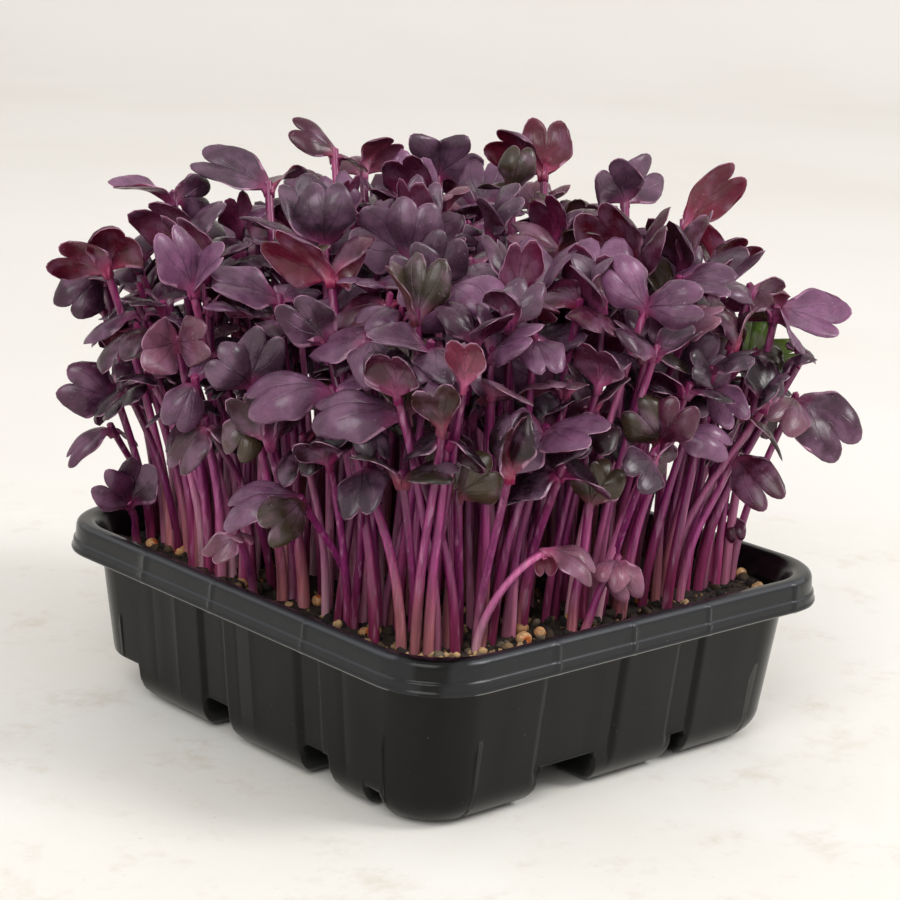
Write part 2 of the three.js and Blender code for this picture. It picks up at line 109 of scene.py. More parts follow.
# Levels at which the wall's two faces are sampled: closer together where the panels end.
INSIDE_HEIGHTS = [36.4, 35, 33.6, 32.8, 32, 31, 30.5, 29.8, 24, 17, 12, 10, 9.2, 8.6]
OUTSIDE_HEIGHTS = [36.4, 34.6, 33, 32, 31, 30.6, 30.2, 29.8, 29.4, 27, 23, 19, 15.5, 12.5, 10.5, 9.4,
                   8.9, 8.5, 8.1, 7.8]
# Painted light added to the plastic's colour: painted sheen all over the rim, and painted highlight lines
# along its edges, each with its height on the skirt, width, reach inwards and colour.
RIM_PAINTED_SHEEN = (30, 31, 33)
PAINTED_HIGHLIGHT_LINES = [(0.1, 0.15, 0.4, (128, 128, 126)), (2.55, 0.2, 1, (46, 48, 51)), (6.3, 0.28, 2, (64, 66, 70))]

# ---------------------------------------------------------------- contents
SOIL_TOP = 31.5
ROOT_DEPTH = 4
STEM_RADIUS = 1.15
NECK = 0.085                   # half of a leaf's width at its stalk, as a share of its full width
# Seed coats that lie where they show, on the bare mix along the two near sides.
HULL_PLACES = [(-43, 47.1), (-39.9, 13.1), (-38.2, -5), (-40.3, -25.9), (-43.4, -26.1), (-14.5, -46.4),
               (-3.9, -44.3), (19.6, -42.1), (-42.2, 37.7), (-42, 28.9), (-41.5, 24.2)]
MORE_HULLS = 26                # at random places
LOOSE_SEED = 11
FILLER_SEED = 2024

# Colour of the leaves, foot, crown, blade [length, width], two leaves [heading, rise, roll, size] and,
# for an arching stem, its bow: the same values as the solids'.
SEEDLINGS = {
    "front": [
        ("lilac", [-35, -44], [-44, -35, 79.5], [18, 12.4], [135, 0, 30, 1.1], [45, 50, 0, 1]),
        ("lilac", [-42, -36], [-48, -18, 81.5], [18, 11], [140, -10, 30, 1.1], [-30, 20, -10, 0.6]),
        ("lilac", [-36, -14], [-53, -16, 59.5], [16.5, 10.6], [140, -10, 30, 1.1], [-160, -15, 50, 0.9]),
        ("lilac", [-25, -43], [-21, -51, 77.5], [14, 12], [-175, -10, 65, 1], [-85, 5, -25, 1]),
        ("lilac", [-15, -34], [-24, -24, 100.5], [15, 12], [-175, -15, 60, 1], [-85, 0, -25, 1]),
        ("olive", [-31, -40], [-37, -44, 65.5], [11, 10.1], [140, 75, 90, 1], [-65, 40, -95, 1]),
        ("lilac", [-14, -37], [-9, -39, 81.5], [17, 12], [120, 45, 70, 1.1], [10, 0, -20, 0.8]),
        ("mauve", [-29, -43], [-19, -53, 52.5], [12, 7.4], [-50, -25, -30, 1], [55, -65, 0, 0.6],
         [-6, -4, 8]),
        ("mauve", [-5, -49], [2, -51, 47.5], [9, 7.4], [-150, -25, 15, 1], [-85, -55, -50, 1]),
    ],
    "left": [
        ("wine", [-41, 43], [-59, 44, 96.5], [13, 12], [175, 15, -45, 1], [-90, 45, 25, 1]),
        ("purple", [-36, 54], [-52, 56, 92.5], [13, 10.1], [-175, -35, 55, 1], [-95, 0, -15, 0.8]),
        ("lilac", [-38, 34], [-42, 44, 110.5], [14, 10.1], [160, 10, 0, 1], [15, -5, -85, 0.9]),
        ("lilac", [-36, 24], [-53, 22, 95.5], [14, 11], [165, 65, 70, 1], [-80, 45, -50, 0.9]),
        ("mauve", [-43, 26], [-56, 22, 84.5], [12, 11], [-165, 0, 75, 1], [-90, 15, -85, 0.9]),
        ("purple", [-41, 50], [-52, 49, 66.5], [13, 11], [150, 20, 80, 1], [15, 25, -50, 1]),
        ("purple", [-43, 52], [-51, 45, 43.5], [11, 9.2], [-180, 40, 105, 1], [-75, 70, -125, 1]),
        ("lilac", [-44, 20], [-58, 13, 78.5], [12, 8.3], [180, -60, 50, 1], [35, 25, 0, 0.7]),
        ("slate", [-41, -4], [-54, 1, 80.5], [12, 10.1], [180, 35, 105, 1], [-75, 65, -120, 1]),
        ("purple", [-45, -31], [-43, -10, 89.5], [12, 10.1], [155, 45, 90, 1], [100, 25, -10, 0.9]),
        ("lilac", [-38, 2], [-41, 8, 94.5], [15, 10.1], [150, 15, 35, 1], [20, 5, -20, 0.8]),
    ],
    "middle": [
        ("slate", [-37, -7], [-28, 10, 105.5], [14.5, 12.4], [-160, 85, 150, 1], [115, 55, 35, 1]),
        ("wine", [-39, -18], [-36, -2, 100.5], [15, 12.9], [135, 30, -60, 1], [15, 25, 60, 1]),
        ("slate", [-26, -20], [-13, 0, 102.5], [14, 12], [-110, 75, -155, 1], [145, 30, 85, 1]),
        ("purple", [0, -36], [2, -31, 86.5], [14, 11], [-60, 25, 50, 1], [75, 15, 15, 1]),
        ("purple", [8, -30], [11, -26, 94.5], [15, 12], [125, 40, 35, 1], [-45, 55, -50, 1]),
        ("wine", [12, -38], [22, -31, 102.5], [16, 13.8], [140, 50, -60, 1], [-100, 50, -60, 1]),
        ("slate", [-3, -22], [8, -2, 106.5], [14, 11], [-160, 45, 40, 1], [-90, 50, -60, 1]),
        ("mauve", [16, -24], [18, -14, 102.5], [14, 12], [150, 25, 35, 1], [-75, 25, 45, 1]),
    ],
    "right": [
        ("lilac", [-2, -42], [5, -51, 99.5], [14, 12], [145, 45, 90, 1], [-70, 10, -80, 1]),
        ("slate", [22, -36], [26, -43, 80.5], [14, 12.9], [160, 40, 100, 1], [-75, 40, -95, 1]),
        ("olive", [4, -44], [10, -53, 72.5], [12, 10.1], [165, 45, 105, 1], [-90, 55, -120, 1]),
        ("mauve", [50, -40], [56, -49, 74.5], [14, 12], [-155, -15, 25, 1], [-55, -40, -40, 1.2]),
        ("wine", [29, -44], [37, -50, 64.5], [15, 9.2], [-95, -30, -50, 1], [60, -5, 15, 0.8]),
        ("lilac", [9, -46], [17, -49, 71.5], [15, 8.3], [-45, -10, -30, 1], [95, -25, 0, 0.7]),
        ("green", [43, -42], [53, -37, 79.5], [13, 7.4], [-40, 20, -35, 1], [30, 65, -5, 1]),
        ("lilac", [50, -32], [60, -39, 92.5], [15, 12], [-60, -10, -30, 1], [-170, 20, -25, 0.9]),
        ("wine", [46, -37], [57, -23, 98.5], [11, 9.2], [-75, 40, 45, 1], [80, 40, -85, 1]),
        ("wine", [44, -30], [57, -12, 106.5], [16, 10.1], [-30, 45, 70, 1.1], [10, -15, -25, 0.8]),
    ],
    "top": [
        ("slate", [-37, 7], [-22, 37, 112.5], [17, 12], [130, 20, 35, 1], [25, 5, 35, 0.8]),
        ("slate", [33, -23], [47, -3, 111.5], [13, 11], [-165, 40, 135, 1], [10, 30, -45, 1]),
        ("wine", [16, -15], [28, 4, 117.5], [15, 12], [130, 30, -60, 1], [45, 50, -170, 1]),
        ("wine", [-15, 14], [-3, 38, 118.5], [12, 9.2], [145, 30, 40, 1], [-20, -30, 0, 0.7]),
        ("mauve", [-4, 17], [7, 40, 113.5], [12, 9.2], [-50, 45, 55, 1], [75, 5, 15, 1]),
        ("slate", [16, 18], [29, 39, 112.5], [12, 11], [175, 30, 105, 1], [-75, 35, -105, 1]),
    ],
    "back": [
        ("purple", [49, 2], [63, 4, 90.5], [14, 12], [-40, 15, 20, 1], [140, 25, -10, 0.9]),
        ("lilac", [47, 26], [60, 30, 101.5], [14, 12], [-60, 20, 15, 1], [115, 10, -20, 1]),
        ("wine", [45, 46], [57, 54, 88.5], [13, 12], [35, 5, 10, 1], [-145, 30, 0, 0.9]),
        ("slate", [30, 50], [36, 60, 97.5], [14, 12], [10, 15, 10, 1], [175, 5, -20, 1]),
        ("purple", [10, 50], [12, 62, 105.5], [14, 12], [70, 10, 0, 1], [-120, 25, 20, 0.9]),
        ("lilac", [-12, 50.5], [-14, 63, 94.5], [14, 12], [30, 15, -10, 1], [-160, 20, 15, 1]),
        ("olive", [-31, 50], [-34, 62, 84.5], [12, 11], [95, -10, 10, 1], [-60, 35, 0, 0.9]),
        ("mauve", [50, -20], [61, -22, 71.5], [13, 11], [-20, -15, 20, 1], [150, 30, 10, 0.9]),
        ("purple", [50, 40], [62, 44, 62.5], [12, 10], [20, -20, -15, 1], [-150, 30, 0, 0.8]),
    ],
    # These stand between the others and have no solid of their own.
    "between": [
        ("slate", [-31, -39], [-18, -13, 98.5], [13, 10.1], [180, 45, 115, 1], [-90, 70, -130, 1]),
        ("purple", [-37, 54], [-52, 51, 59.5], [12, 5.5], [150, -35, 35, 1.1], [5, -35, 0, 0.7]),
        ("olive", [-42, 2], [-52, 2, 73.5], [11, 8.3], [-165, -55, 35, 1], [25, 5, 0, 0.7]),
        ("mauve", [-44, 9], [-60, -5, 50.5], [7.5, 6], [160, -40, 65, 1], [-105, -5, 0, 0.7]),
        ("olive", [-6, -47], [-4, -48, 60.5], [8.5, 6.9], [-170, 70, 140, 1], [-20, 55, -60, 1.2]),
        ("lilac", [22, -47], [29, -49, 80.5], [11, 8.3], [-95, -35, -50, 1], [90, -25, 0, 0.7]),
        ("olive", [6, -13], [18, 3, 114.5], [11, 8.3], [-80, 80, -125, 1], [105, -5, 0, 0.7]),
        ("wine", [49, -38], [48, -41, 47.5], [7, 4.6], [-120, -45, -20, 1], [65, 20, 0, 0.7]),
    ],
}

# Seedlings whose second leaf has a colour of its own.
SECOND_LEAVES = {
    "front_1": "olive", "front_3": "olive", "front_7": "purple", "left_3": "purple",
    "right_3": "wine", "right_4": "purple", "right_5": "olive", "right_8": "mauve",
    "middle_8": "olive", "top_1": "wine",
}

# Seedlings whose two leaves have a given habit or width, in place of random ones.
FORMS = {
    "front_1": ({"habit": "drooping"}, {"habit": "hollow"}),
    "front_2": ({"habit": "drooping"}, {"habit": "open"}),
    "front_5": ({"habit": "drooping"}, {"habit": "drooping"}),
    "front_7": ({"habit": "drooping"}, {"habit": "open"}),
    "right_1": ({"habit": "drooping", "wide": 0.85}, {"habit": "drooping", "wide": 0.9}),
    "right_2": ({"habit": "hollow", "wide": 0.9}, {"habit": "drooping"}),
}

# ---------------------------------------------------------------- colours, as written on screen (0 to 255)
# Upper side, underside and leaf stalk of each colour of leaf.
PALETTE = {
    "lilac": [(102, 64, 92), (96, 34, 62), (150, 62, 108)],
    "slate": [(80, 54, 72), (82, 32, 54), (136, 54, 98)],
    "purple": [(62, 29, 50), (80, 22, 48), (124, 38, 84)],
    "wine": [(66, 22, 42), (86, 15, 36), (140, 42, 78)],
    "mauve": [(116, 70, 88), (120, 48, 70), (162, 76, 112)],
    "olive": [(60, 48, 36), (74, 40, 34), (118, 56, 74)],
    "green": [(96, 128, 40), (128, 148, 64), (146, 112, 84)],
}
# Foot, middle and top of a stem.
STEM_COLOURS = [
    [(178, 108, 134), (156, 64, 124), (122, 34, 84)],
    [(142, 54, 94), (134, 38, 104), (102, 26, 72)],
    [(204, 150, 166), (184, 98, 146), (142, 48, 98)],
    [(112, 36, 68), (110, 28, 82), (88, 20, 62)],
    [(174, 106, 112), (148, 48, 112), (118, 34, 82)],
]
CRUMB_COLOURS = [(34, 24, 18), (24, 18, 14), (48, 35, 25), (66, 50, 35), (20, 15, 12)]
GRIT_COLOURS = [(150, 122, 88), (120, 94, 64), (98, 86, 70), (172, 140, 100)]
HULL_COLOURS = [(190, 142, 96), (168, 124, 84), (204, 160, 112), (154, 110, 70)]
HULL_MOUTH = (190, 96, 34)
# Pale lilac of the painted sheen on the leaves' upper faces.
LEAF_PAINTED_SHEEN = (166, 122, 156)
LEAF_SPECK = (176, 150, 172)
LEAF_VEIN = (140, 96, 124)
LEAF_RIM = (204, 152, 182)
# Pale pink of the painted highlight streaks on the stems.
STEM_PAINTED_HIGHLIGHT = (226, 178, 206)
PLASTIC = [(5, 5, 5), (13, 13, 13)]
PLASTIC_DUST = (110, 104, 96)
MIX = [(16, 11, 9), (56, 41, 30)]
MIX_FIBRE = (96, 76, 52)
TABLE_SPECK = (196, 180, 160)
FLOOR_COLOURS = [(242, 239, 232), (222, 212, 197), (247, 245, 240)]    # plain, stained and lightest
WALL_COLOUR = (244, 241, 237)
WALL_SHADE = (239, 235, 229)

# ---------------------------------------------------------------- camera and backdrop, in metres and degrees
CAMERA = {"place": (-0.34865, -0.37804, 0.18919), "yaw": 42.779, "pitch": 14.265, "tilt": 3.105,
          "lens": 98.55}
# The level direction in which the camera looks, towards the backdrop.
AHEAD = (math.sin(math.radians(CAMERA["yaw"])), math.cos(math.radians(CAMERA["yaw"])), 0)
SEAM = 0.17                    # distance to where the table's colour gives way to the wall's
SEAM_SOFTNESS = 0.012
# The table reaches this near and far to both sides, bends up at this distance and radius, and ends as a
# wall of this height.
BACKDROP = {"near": 2.5, "reach": 3, "bend": 1.3, "radius": 0.5, "height": 3}
WORLD_COLOUR = (1, 0.995, 0.985, 1)
WORLD_STRENGTH = 0.65
# Where each lamp stands, its size, power and colour. Both face the middle of the plants.
LAMPS = {
    "key": ((0.9, -1.2, 1.3), 0.7, 17.5, (1, 0.99, 0.98)),
    "fill": ((-1.2, -0.7, 1.1), 1.0, 14, (1, 0.995, 0.985)),
}
LAMP_TARGET = (0, 0, 0.06)

# ---------------------------------------------------------------- small sums


def linear(colour):
    """A colour written as it looks on screen, as the linear values that shaders use."""
    share = np.asarray(colour, float) / 255
    return np.where(share <= 0.04045, share / 12.92, ((share + 0.055) / 1.055) ** 2.4)


def smooth(value):
    """A soft step: 0 below 0, 1 above 1."""
    value = np.clip(value, 0, 1)
    return value * value * (3 - 2 * value)


def lerp(first, second, share):
    """A value the given share of the way from the first to the second."""
    return first + (second - first) * share


def unit(vector):
    """A vector of length 1 in the same direction."""
    return vector / np.linalg.norm(vector, axis=-1, keepdims=True)


# ---------------------------------------------------------------- meshes
class Surface:
    """Points, faces and values at each point, gathered for one piece."""

    def __init__(self):
        self.points = []
        self.faces = []
        self.looks = []
        self.values = {"tint": [], "place": [], "margin": []}
        self.count = 0

    def add(self, points, faces, tint, place=(0, 0, 0), margin=9.0, look=0):
        """Adds faces, as rows of 3 or 4 indices into points, with a colour, a place and a margin."""
        points = np.asarray(points, float).reshape(-1, 3)
        size = len(points)
        self.points.append(points)
        self.add_faces(np.asarray(faces, int) + self.count, look)
        self.values["tint"].append(np.broadcast_to(tint, (size, 3)))
        self.values["place"].append(np.broadcast_to(place, (size, 3)))
        self.values["margin"].append(np.broadcast_to(margin, (size,)))
        self.count += size

    def add_faces(self, faces, look=0):
        """Adds faces between points that are already there."""
        self.faces.append(faces)
        self.looks.append(np.full(len(faces), look))

    def join(self, other):
        """Takes in all that another surface holds."""
        self.points += other.points
        self.faces += [faces + self.count for faces in other.faces]
        self.looks += other.looks
        for key, parts in other.values.items():
            self.values[key] += parts
        self.count += other.count

    def build(self, name, materials):
        """Makes an object of all that was gathered, scaled from millimetres to metres."""
        mesh = bpy.data.meshes.new(name)
        corners = [len(face) for faces in self.faces for face in faces]
        starts = np.concatenate([[0], np.cumsum(corners)[:-1]])
        loops = np.concatenate([faces.ravel() for faces in self.faces])
        mesh.vertices.add(self.count)
        mesh.vertices.foreach_set("co", (np.concatenate(self.points) * MM).astype(np.float32).ravel())
        mesh.loops.add(len(loops))
        mesh.loops.foreach_set("vertex_index", loops.astype(np.int32))
        mesh.polygons.add(len(corners))
        mesh.polygons.foreach_set("loop_start", starts.astype(np.int32))
        mesh.polygons.foreach_set("material_index", np.concatenate(self.looks).astype(np.int32))
        mesh.polygons.foreach_set("use_smooth", np.ones(len(corners), bool))
        mesh.update(calc_edges=True)
        tint = np.hstack([np.concatenate(self.values["tint"]), np.ones((self.count, 1))])
        mesh.attributes.new("tint", "FLOAT_COLOR", "POINT").data.foreach_set("color", tint.ravel())
        place = np.concatenate(self.values["place"])
        mesh.attributes.new("place", "FLOAT_VECTOR", "POINT").data.foreach_set("vector", place.ravel())
        margin = np.concatenate(self.values["margin"])
        mesh.attributes.new("margin", "FLOAT", "POINT").data.foreach_set("value", margin)
        mesh.validate()
        for material in materials:
            mesh.materials.append(material)
        piece = bpy.data.objects.new(name, mesh)
        bpy.context.scene.collection.objects.link(piece)
        return piece


def grid_faces(rows, columns, wrap=False):
    """Four-sided faces between the points of a grid, laid out row by row."""
    across = np.arange(columns if wrap else columns - 1)
    row = np.arange(rows - 1)[:, None]
    here = row * columns + across
    there = row * columns + (across + 1) % columns
    return np.stack([here, there, there + columns, here + columns], -1).reshape(-1, 4)


def stacked(parts):
    """Several pairs of points and faces as one pair."""
    starts = np.cumsum([0] + [len(points) for points, _ in parts[:-1]])
    faces = [faces + start for (_, faces), start in zip(parts, starts)]
    return np.concatenate([points for points, _ in parts]), np.concatenate(faces)


def welded(points, faces):
    """Merges points that lie together; a face that loses a corner becomes a triangle."""
    keys = np.round(points / 1e-3).astype(np.int64)
    _, first, index = np.unique(keys, axis=0, return_index=True, return_inverse=True)
    faces = index.reshape(-1)[faces]
    kept = []
    for face in faces.tolist():
        corners = [c for c, before in zip(face, face[-1:] + face[:-1]) if c != before]
        if len(set(corners)) == len(corners) >= 3:
            kept.append(corners)
    quads = np.array([face for face in kept if len(face) == 4], int).reshape(-1, 4)
    triangles = np.array([face for face in kept if len(face) == 3], int).reshape(-1, 3)
    return points[first], quads, triangles


# ---------------------------------------------------------------- materials
def rgba(colour):
    """A colour written as it looks on screen, as a node's linear colour."""
    return (*linear(colour), 1)


class Nodes:
    """A material's node tree, with short calls for the nodes used here."""

    def __init__(self, name):
        self.material = bpy.data.materials.new(name)
        self.material.use_nodes = True
        self.tree = self.material.node_tree
        self.shader = self.tree.nodes["Principled BSDF"]

    def node(self, kind, inputs=None, **settings):
        """A new node with its settings, and values or links for its inputs."""
        node = self.tree.nodes.new("ShaderNode" + kind)
        for key, value in settings.items():
            setattr(node, key, value)
        for key, value in (inputs or {}).items():
            self.plug(node.inputs[key], value)
        return node

    def plug(self, socket, value):
        """Links an output to a socket, or sets the socket to a plain value."""
        if isinstance(value, bpy.types.NodeSocket):
            self.tree.links.new(value, socket)
        else:
            socket.default_value = value

    def math(self, operation, *values):
        """The result of a sum on numbers or outputs."""
        node = self.node("Math", operation=operation)
        for socket, value in zip(node.inputs, values):
            self.plug(socket, value)
        return node.outputs[0]

    def step(self, value, low, high):
        """A soft step from 0 at `low` to 1 at `high`."""
        inputs = {"Value": value, "From Min": low, "From Max": high}
        return self.node("MapRange", inputs, interpolation_type="SMOOTHSTEP").outputs["Result"]

    def spread(self, value, low, high):
        """A noise value, stretched to run from `low` to `high`."""
        inputs = {"Value": value, "From Min": 0.3, "From Max": 0.7, "To Min": low, "To Max": high}
        return self.node("MapRange", inputs).outputs["Result"]

    def mix(self, share, first, second, how="MIX"):
        """Two colours mixed, by the second's share."""
        node = self.node("Mix", data_type="RGBA", blend_type=how)
        self.plug(node.inputs[0], share)
        self.plug(node.inputs[6], first)
        self.plug(node.inputs[7], second)
        return node.outputs[2]

    def toned(self, colour, tone):
        """A colour made darker or lighter by the number `tone`."""
        grey = self.node("CombineColor", {0: tone, 1: tone, 2: tone}).outputs[0]
        return self.mix(1, colour, grey, "MULTIPLY")

    def noise(self, scale, detail=3, stretch=None, roughness=0.5):
        """Noise over the object; `scale` is in features per metre."""
        place = self.node("TexCoord").outputs["Object"]
        if stretch:
            place = self.node("Mapping", {"Vector": place, "Scale": stretch}).outputs[0]
        inputs = {"Vector": place, "Scale": scale, "Detail": detail, "Roughness": roughness}
        return self.node("TexNoise", inputs).outputs["Fac"]

    def value(self, name, output="Fac"):
        """A value that the mesh holds at each point."""
        return self.node("Attribute", attribute_name=name).outputs[output]

    def bump(self, height, distance, strength=1.0):
        """Fine relief, with its depth in millimetres."""
        inputs = {"Height": height, "Distance": distance * MM, "Strength": strength}
        self.plug(self.shader.inputs["Normal"], self.node("Bump", inputs).outputs[0])

    def set(self, **values):
        """Sets the shader's inputs, named with _ for a space."""
        for key, value in values.items():
            self.plug(self.shader.inputs[key.replace("_", " ")], value)


# Side veins: where each starts and ends along the leaf, how far out it arches and how fast it turns.
SIDE_VEINS = [(0.14, 1.0, 0.27, 1.95), (0.2, 0.62, 0.4, 1.45), (0.42, 0.95, 0.13, 1.3)]


def vein_lines(nodes):
    """1 on the midrib and side veins of a leaf, 0 between them."""
    place = nodes.node("SeparateXYZ", {0: nodes.value("place", "Vector")})
    wobble = nodes.math("MULTIPLY_ADD", nodes.noise(420, 2), 0.05, -0.025)
    across = nodes.math("ABSOLUTE", nodes.math("ADD", place.outputs[0], wobble))
    along = place.outputs[1]
    veins = nodes.step(across, 0.018, 0.005)
    for start, end, reach, turn in SIDE_VEINS:
        share = nodes.math("DIVIDE", nodes.math("SUBTRACT", along, start), 1 - start)
        arch = nodes.math("MULTIPLY", nodes.math("SINE", nodes.math("MULTIPLY", share, turn)), reach)
        away = nodes.math("ABSOLUTE", nodes.math("SUBTRACT", across, arch))
        line = nodes.math("MULTIPLY", nodes.step(away, 0.014, 0.003), nodes.step(along, start, start + 0.04))
        line = nodes.math("MULTIPLY", line, nodes.step(along, end, end - 0.25))
        veins = nodes.math("MAXIMUM", veins, nodes.math("MULTIPLY", line, 0.7))
    faded = nodes.math("MULTIPLY", nodes.step(along, 0.04, 0.2), nodes.step(along, 1.25, 0.2))
    return nodes.math("MULTIPLY", veins, faded)


def leaf_material():
    """A seed leaf: satin, mottled, with patches of painted sheen, sunk veins and a thin paler rim."""
    nodes = Nodes("seed_leaf")
    tone = nodes.math("MULTIPLY", nodes.spread(nodes.noise(240, 4, roughness=0.6), 0.72, 1.3),
                      nodes.spread(nodes.noise(2400, 2), 0.86, 1.14))
    colour = nodes.toned(nodes.value("tint", "Color"), tone)
    # Patches of painted sheen: pale lilac mixed into the leaf's colour.
    painted_sheen = nodes.math("MULTIPLY", nodes.step(nodes.noise(190, 4), 0.45, 0.7), 0.26)
    colour = nodes.mix(painted_sheen, colour, rgba(LEAF_PAINTED_SHEEN))
    speck = nodes.math("MULTIPLY", nodes.step(nodes.noise(1500, 1), 0.73, 0.78), 0.35)
    colour = nodes.mix(speck, colour, rgba(LEAF_SPECK))
    veins = vein_lines(nodes)
    darker = nodes.mix(1, colour, rgba(LEAF_VEIN), "MULTIPLY")
    colour = nodes.mix(nodes.math("MULTIPLY", veins, 0.55), colour, darker)
    rim = nodes.math("MULTIPLY", nodes.step(nodes.value("margin"), 0.2, 0.06),
                     nodes.step(nodes.noise(260, 2), 0.35, 0.6))
    colour = nodes.mix(nodes.math("MULTIPLY", rim, 0.6), colour, rgba(LEAF_RIM))
    nodes.set(Base_Color=colour, Roughness=nodes.spread(nodes.noise(420, 3), 0.22, 0.38))
    nodes.shader.inputs["Specular IOR Level"].default_value = 0.4
    height = nodes.math("MULTIPLY_ADD", veins, -1.0, nodes.math("MULTIPLY", nodes.noise(700, 3), 0.55))
    nodes.bump(height, 0.14, 0.6)
    return nodes.material


def stem_material():
    """A smooth juicy stem with fine streaks along it, and pale streaks of painted highlight."""
    nodes = Nodes("seedling_stem")
    streak = nodes.spread(nodes.noise(1500, 3, stretch=(1, 1, 0.06)), 0.72, 1.3)
    colour = nodes.toned(nodes.value("tint", "Color"), streak)
    # Pale streaks of painted highlight along the stem.
    painted_glints = nodes.step(nodes.noise(900, 2, stretch=(1, 1, 0.12)), 0.56, 0.7)
    colour = nodes.mix(nodes.math("MULTIPLY", painted_glints, 0.2), colour, rgba(STEM_PAINTED_HIGHLIGHT))
    nodes.set(Base_Color=colour, Roughness=0.34)
    nodes.bump(nodes.noise(1400, 3, stretch=(1, 1, 0.1)), 0.07, 0.5)
    return nodes.material


def plastic_material():
    """Thermoformed black sheet: satin, faintly streaked down the walls, with a little dust."""
    nodes = Nodes("tray_plastic")
    streak = nodes.noise(260, 4, stretch=(1, 1, 0.05))
    tone = nodes.math("MULTIPLY_ADD", streak, 0.5, nodes.math("MULTIPLY", nodes.noise(45, 4), 0.5))
    colour = nodes.mix(nodes.step(tone, 0.3, 0.7), rgba(PLASTIC[0]), rgba(PLASTIC[1]))
    dust = nodes.math("MULTIPLY", nodes.step(nodes.noise(1300, 2), 0.74, 0.79), 0.4)
    colour = nodes.mix(dust, colour, rgba(PLASTIC_DUST))
    # Adds the painted sheen and painted highlight lines that the mesh carries on the rim.
    colour = nodes.mix(1, colour, nodes.value("tint", "Color"), "ADD")
    nodes.set(Base_Color=colour, Roughness=nodes.spread(tone, 0.16, 0.27))
    nodes.shader.inputs["Specular IOR Level"].default_value = 0.2
    height = nodes.math("MULTIPLY_ADD", nodes.noise(2200, 2), 0.2, nodes.noise(220, 2, stretch=(1, 1, 0.12)))
    nodes.bump(height, 0.12, 0.45)
    return nodes.material


def soil_material():
    """Damp potting mix: dark, rough and uneven."""
    nodes = Nodes("potting_mix")
    colour = nodes.mix(nodes.step(nodes.noise(900, 6, roughness=0.7), 0.35, 0.7),
                       rgba(MIX[0]), rgba(MIX[1]))
    colour = nodes.mix(nodes.step(nodes.noise(2300, 3), 0.62, 0.7), colour, rgba(MIX_FIBRE))
    nodes.set(Base_Color=colour, Roughness=0.9)
    nodes.bump(nodes.noise(1300, 6, roughness=0.7), 0.8, 0.9)
    return nodes.material


def grain_material(name, roughness, fineness):
    """Crumbs, grit and hulls: each has its own tint, mottled."""
    nodes = Nodes(name)
    tone = nodes.spread(nodes.noise(fineness, 4), 0.6, 1.4)
    nodes.set(Base_Color=nodes.toned(nodes.value("tint", "Color"), tone), Roughness=roughness)
    nodes.bump(nodes.noise(fineness * 2, 4), 0.25, 0.8)
    return nodes.material


def floor_material():
    """A pale plastered table top with faint warm stains, which gives way to the wall's colour."""
    nodes = Nodes("floor")
    clouds = nodes.step(nodes.noise(11, 6, roughness=0.6), 0.42, 0.68)
    colour = nodes.mix(clouds, rgba(FLOOR_COLOURS[0]), rgba(FLOOR_COLOURS[2]))
    stains = nodes.math("MULTIPLY", nodes.step(nodes.noise(38, 7, roughness=0.75), 0.52, 0.7), 0.6)
    colour = nodes.mix(stains, colour, rgba(FLOOR_COLOURS[1]))
    specks = nodes.math("MULTIPLY", nodes.step(nodes.noise(420, 3), 0.7, 0.78), 0.35)
    colour = nodes.mix(specks, colour, rgba(TABLE_SPECK))
    ahead = nodes.node("VectorMath", {0: nodes.node("TexCoord").outputs["Object"], 1: AHEAD},
                       operation="DOT_PRODUCT").outputs["Value"]
    haze = nodes.mix(nodes.step(nodes.noise(3, 4), 0.35, 0.7), rgba(WALL_COLOUR), rgba(WALL_SHADE))
    colour = nodes.mix(nodes.step(ahead, SEAM - SEAM_SOFTNESS, SEAM + SEAM_SOFTNESS), colour, haze)
    nodes.set(Base_Color=colour, Roughness=0.7)
    nodes.bump(nodes.noise(300, 5, roughness=0.6), 0.25, 0.3)
    return nodes.material


# ---------------------------------------------------------------- tray and potting mix
def wall_inset(z):
    """How far the outside of the wall lies inside the rim's outline at a height."""
    return float(np.interp(z, [BASE_FILLET, KNEE, RIM_TOP], [WALL_INSET_BASE, WALL_INSET_TOP, LIP_INSET]))


def corner_radius(inset):
    """Plan radius of the corners down the wall and round the fillet; on the floor it shrinks to nothing."""
    leaning = min(inset, WALL_INSET_BASE)
    rounding = min(max(inset - WALL_INSET_BASE, 0), BASE_FILLET)
    on_floor = max(inset - FLOOR_INSET, 0) / (GRID_INSET - FLOOR_INSET)
    radius = CORNER_RADIUS - leaning * CORNER_TIGHTENING - rounding * FILLET_TIGHTENING
    return radius * (1 - on_floor)


def side_lines(reach, edges, lines):
    """Places along a side: evenly spaced, and closer together at pressed edges and at fine lines."""
    places = list(np.arange(-reach, reach, SIDE_STEP))
    for edge in edges:
        places += [edge + side * shift for side in (-1, 1) for shift in EDGE_SHIFTS]
    for line in lines:
        places += [line + shift for shift in LINE_SHIFTS]
    kept = [-reach]
    for place in sorted(places):
        if place - kept[-1] > CLOSEST and place < reach - 0.2:
            kept.append(place)
    return np.array(kept + [reach])


def edges_of(places):
    """The two edges of each pressing, given as a centre line and a width."""
    return [place[0] + side * place[1] / 2 for place in places for side in (-1, 1)]


GRID_X = RIM_X / 2 - GRID_INSET
GRID_Y = RIM_Y / 2 - GRID_INSET
RECESS_EDGES = [side * (RIM_X / 2 - place[3]) for place in EDGE_PRESSINGS for side in (-1, 1)]
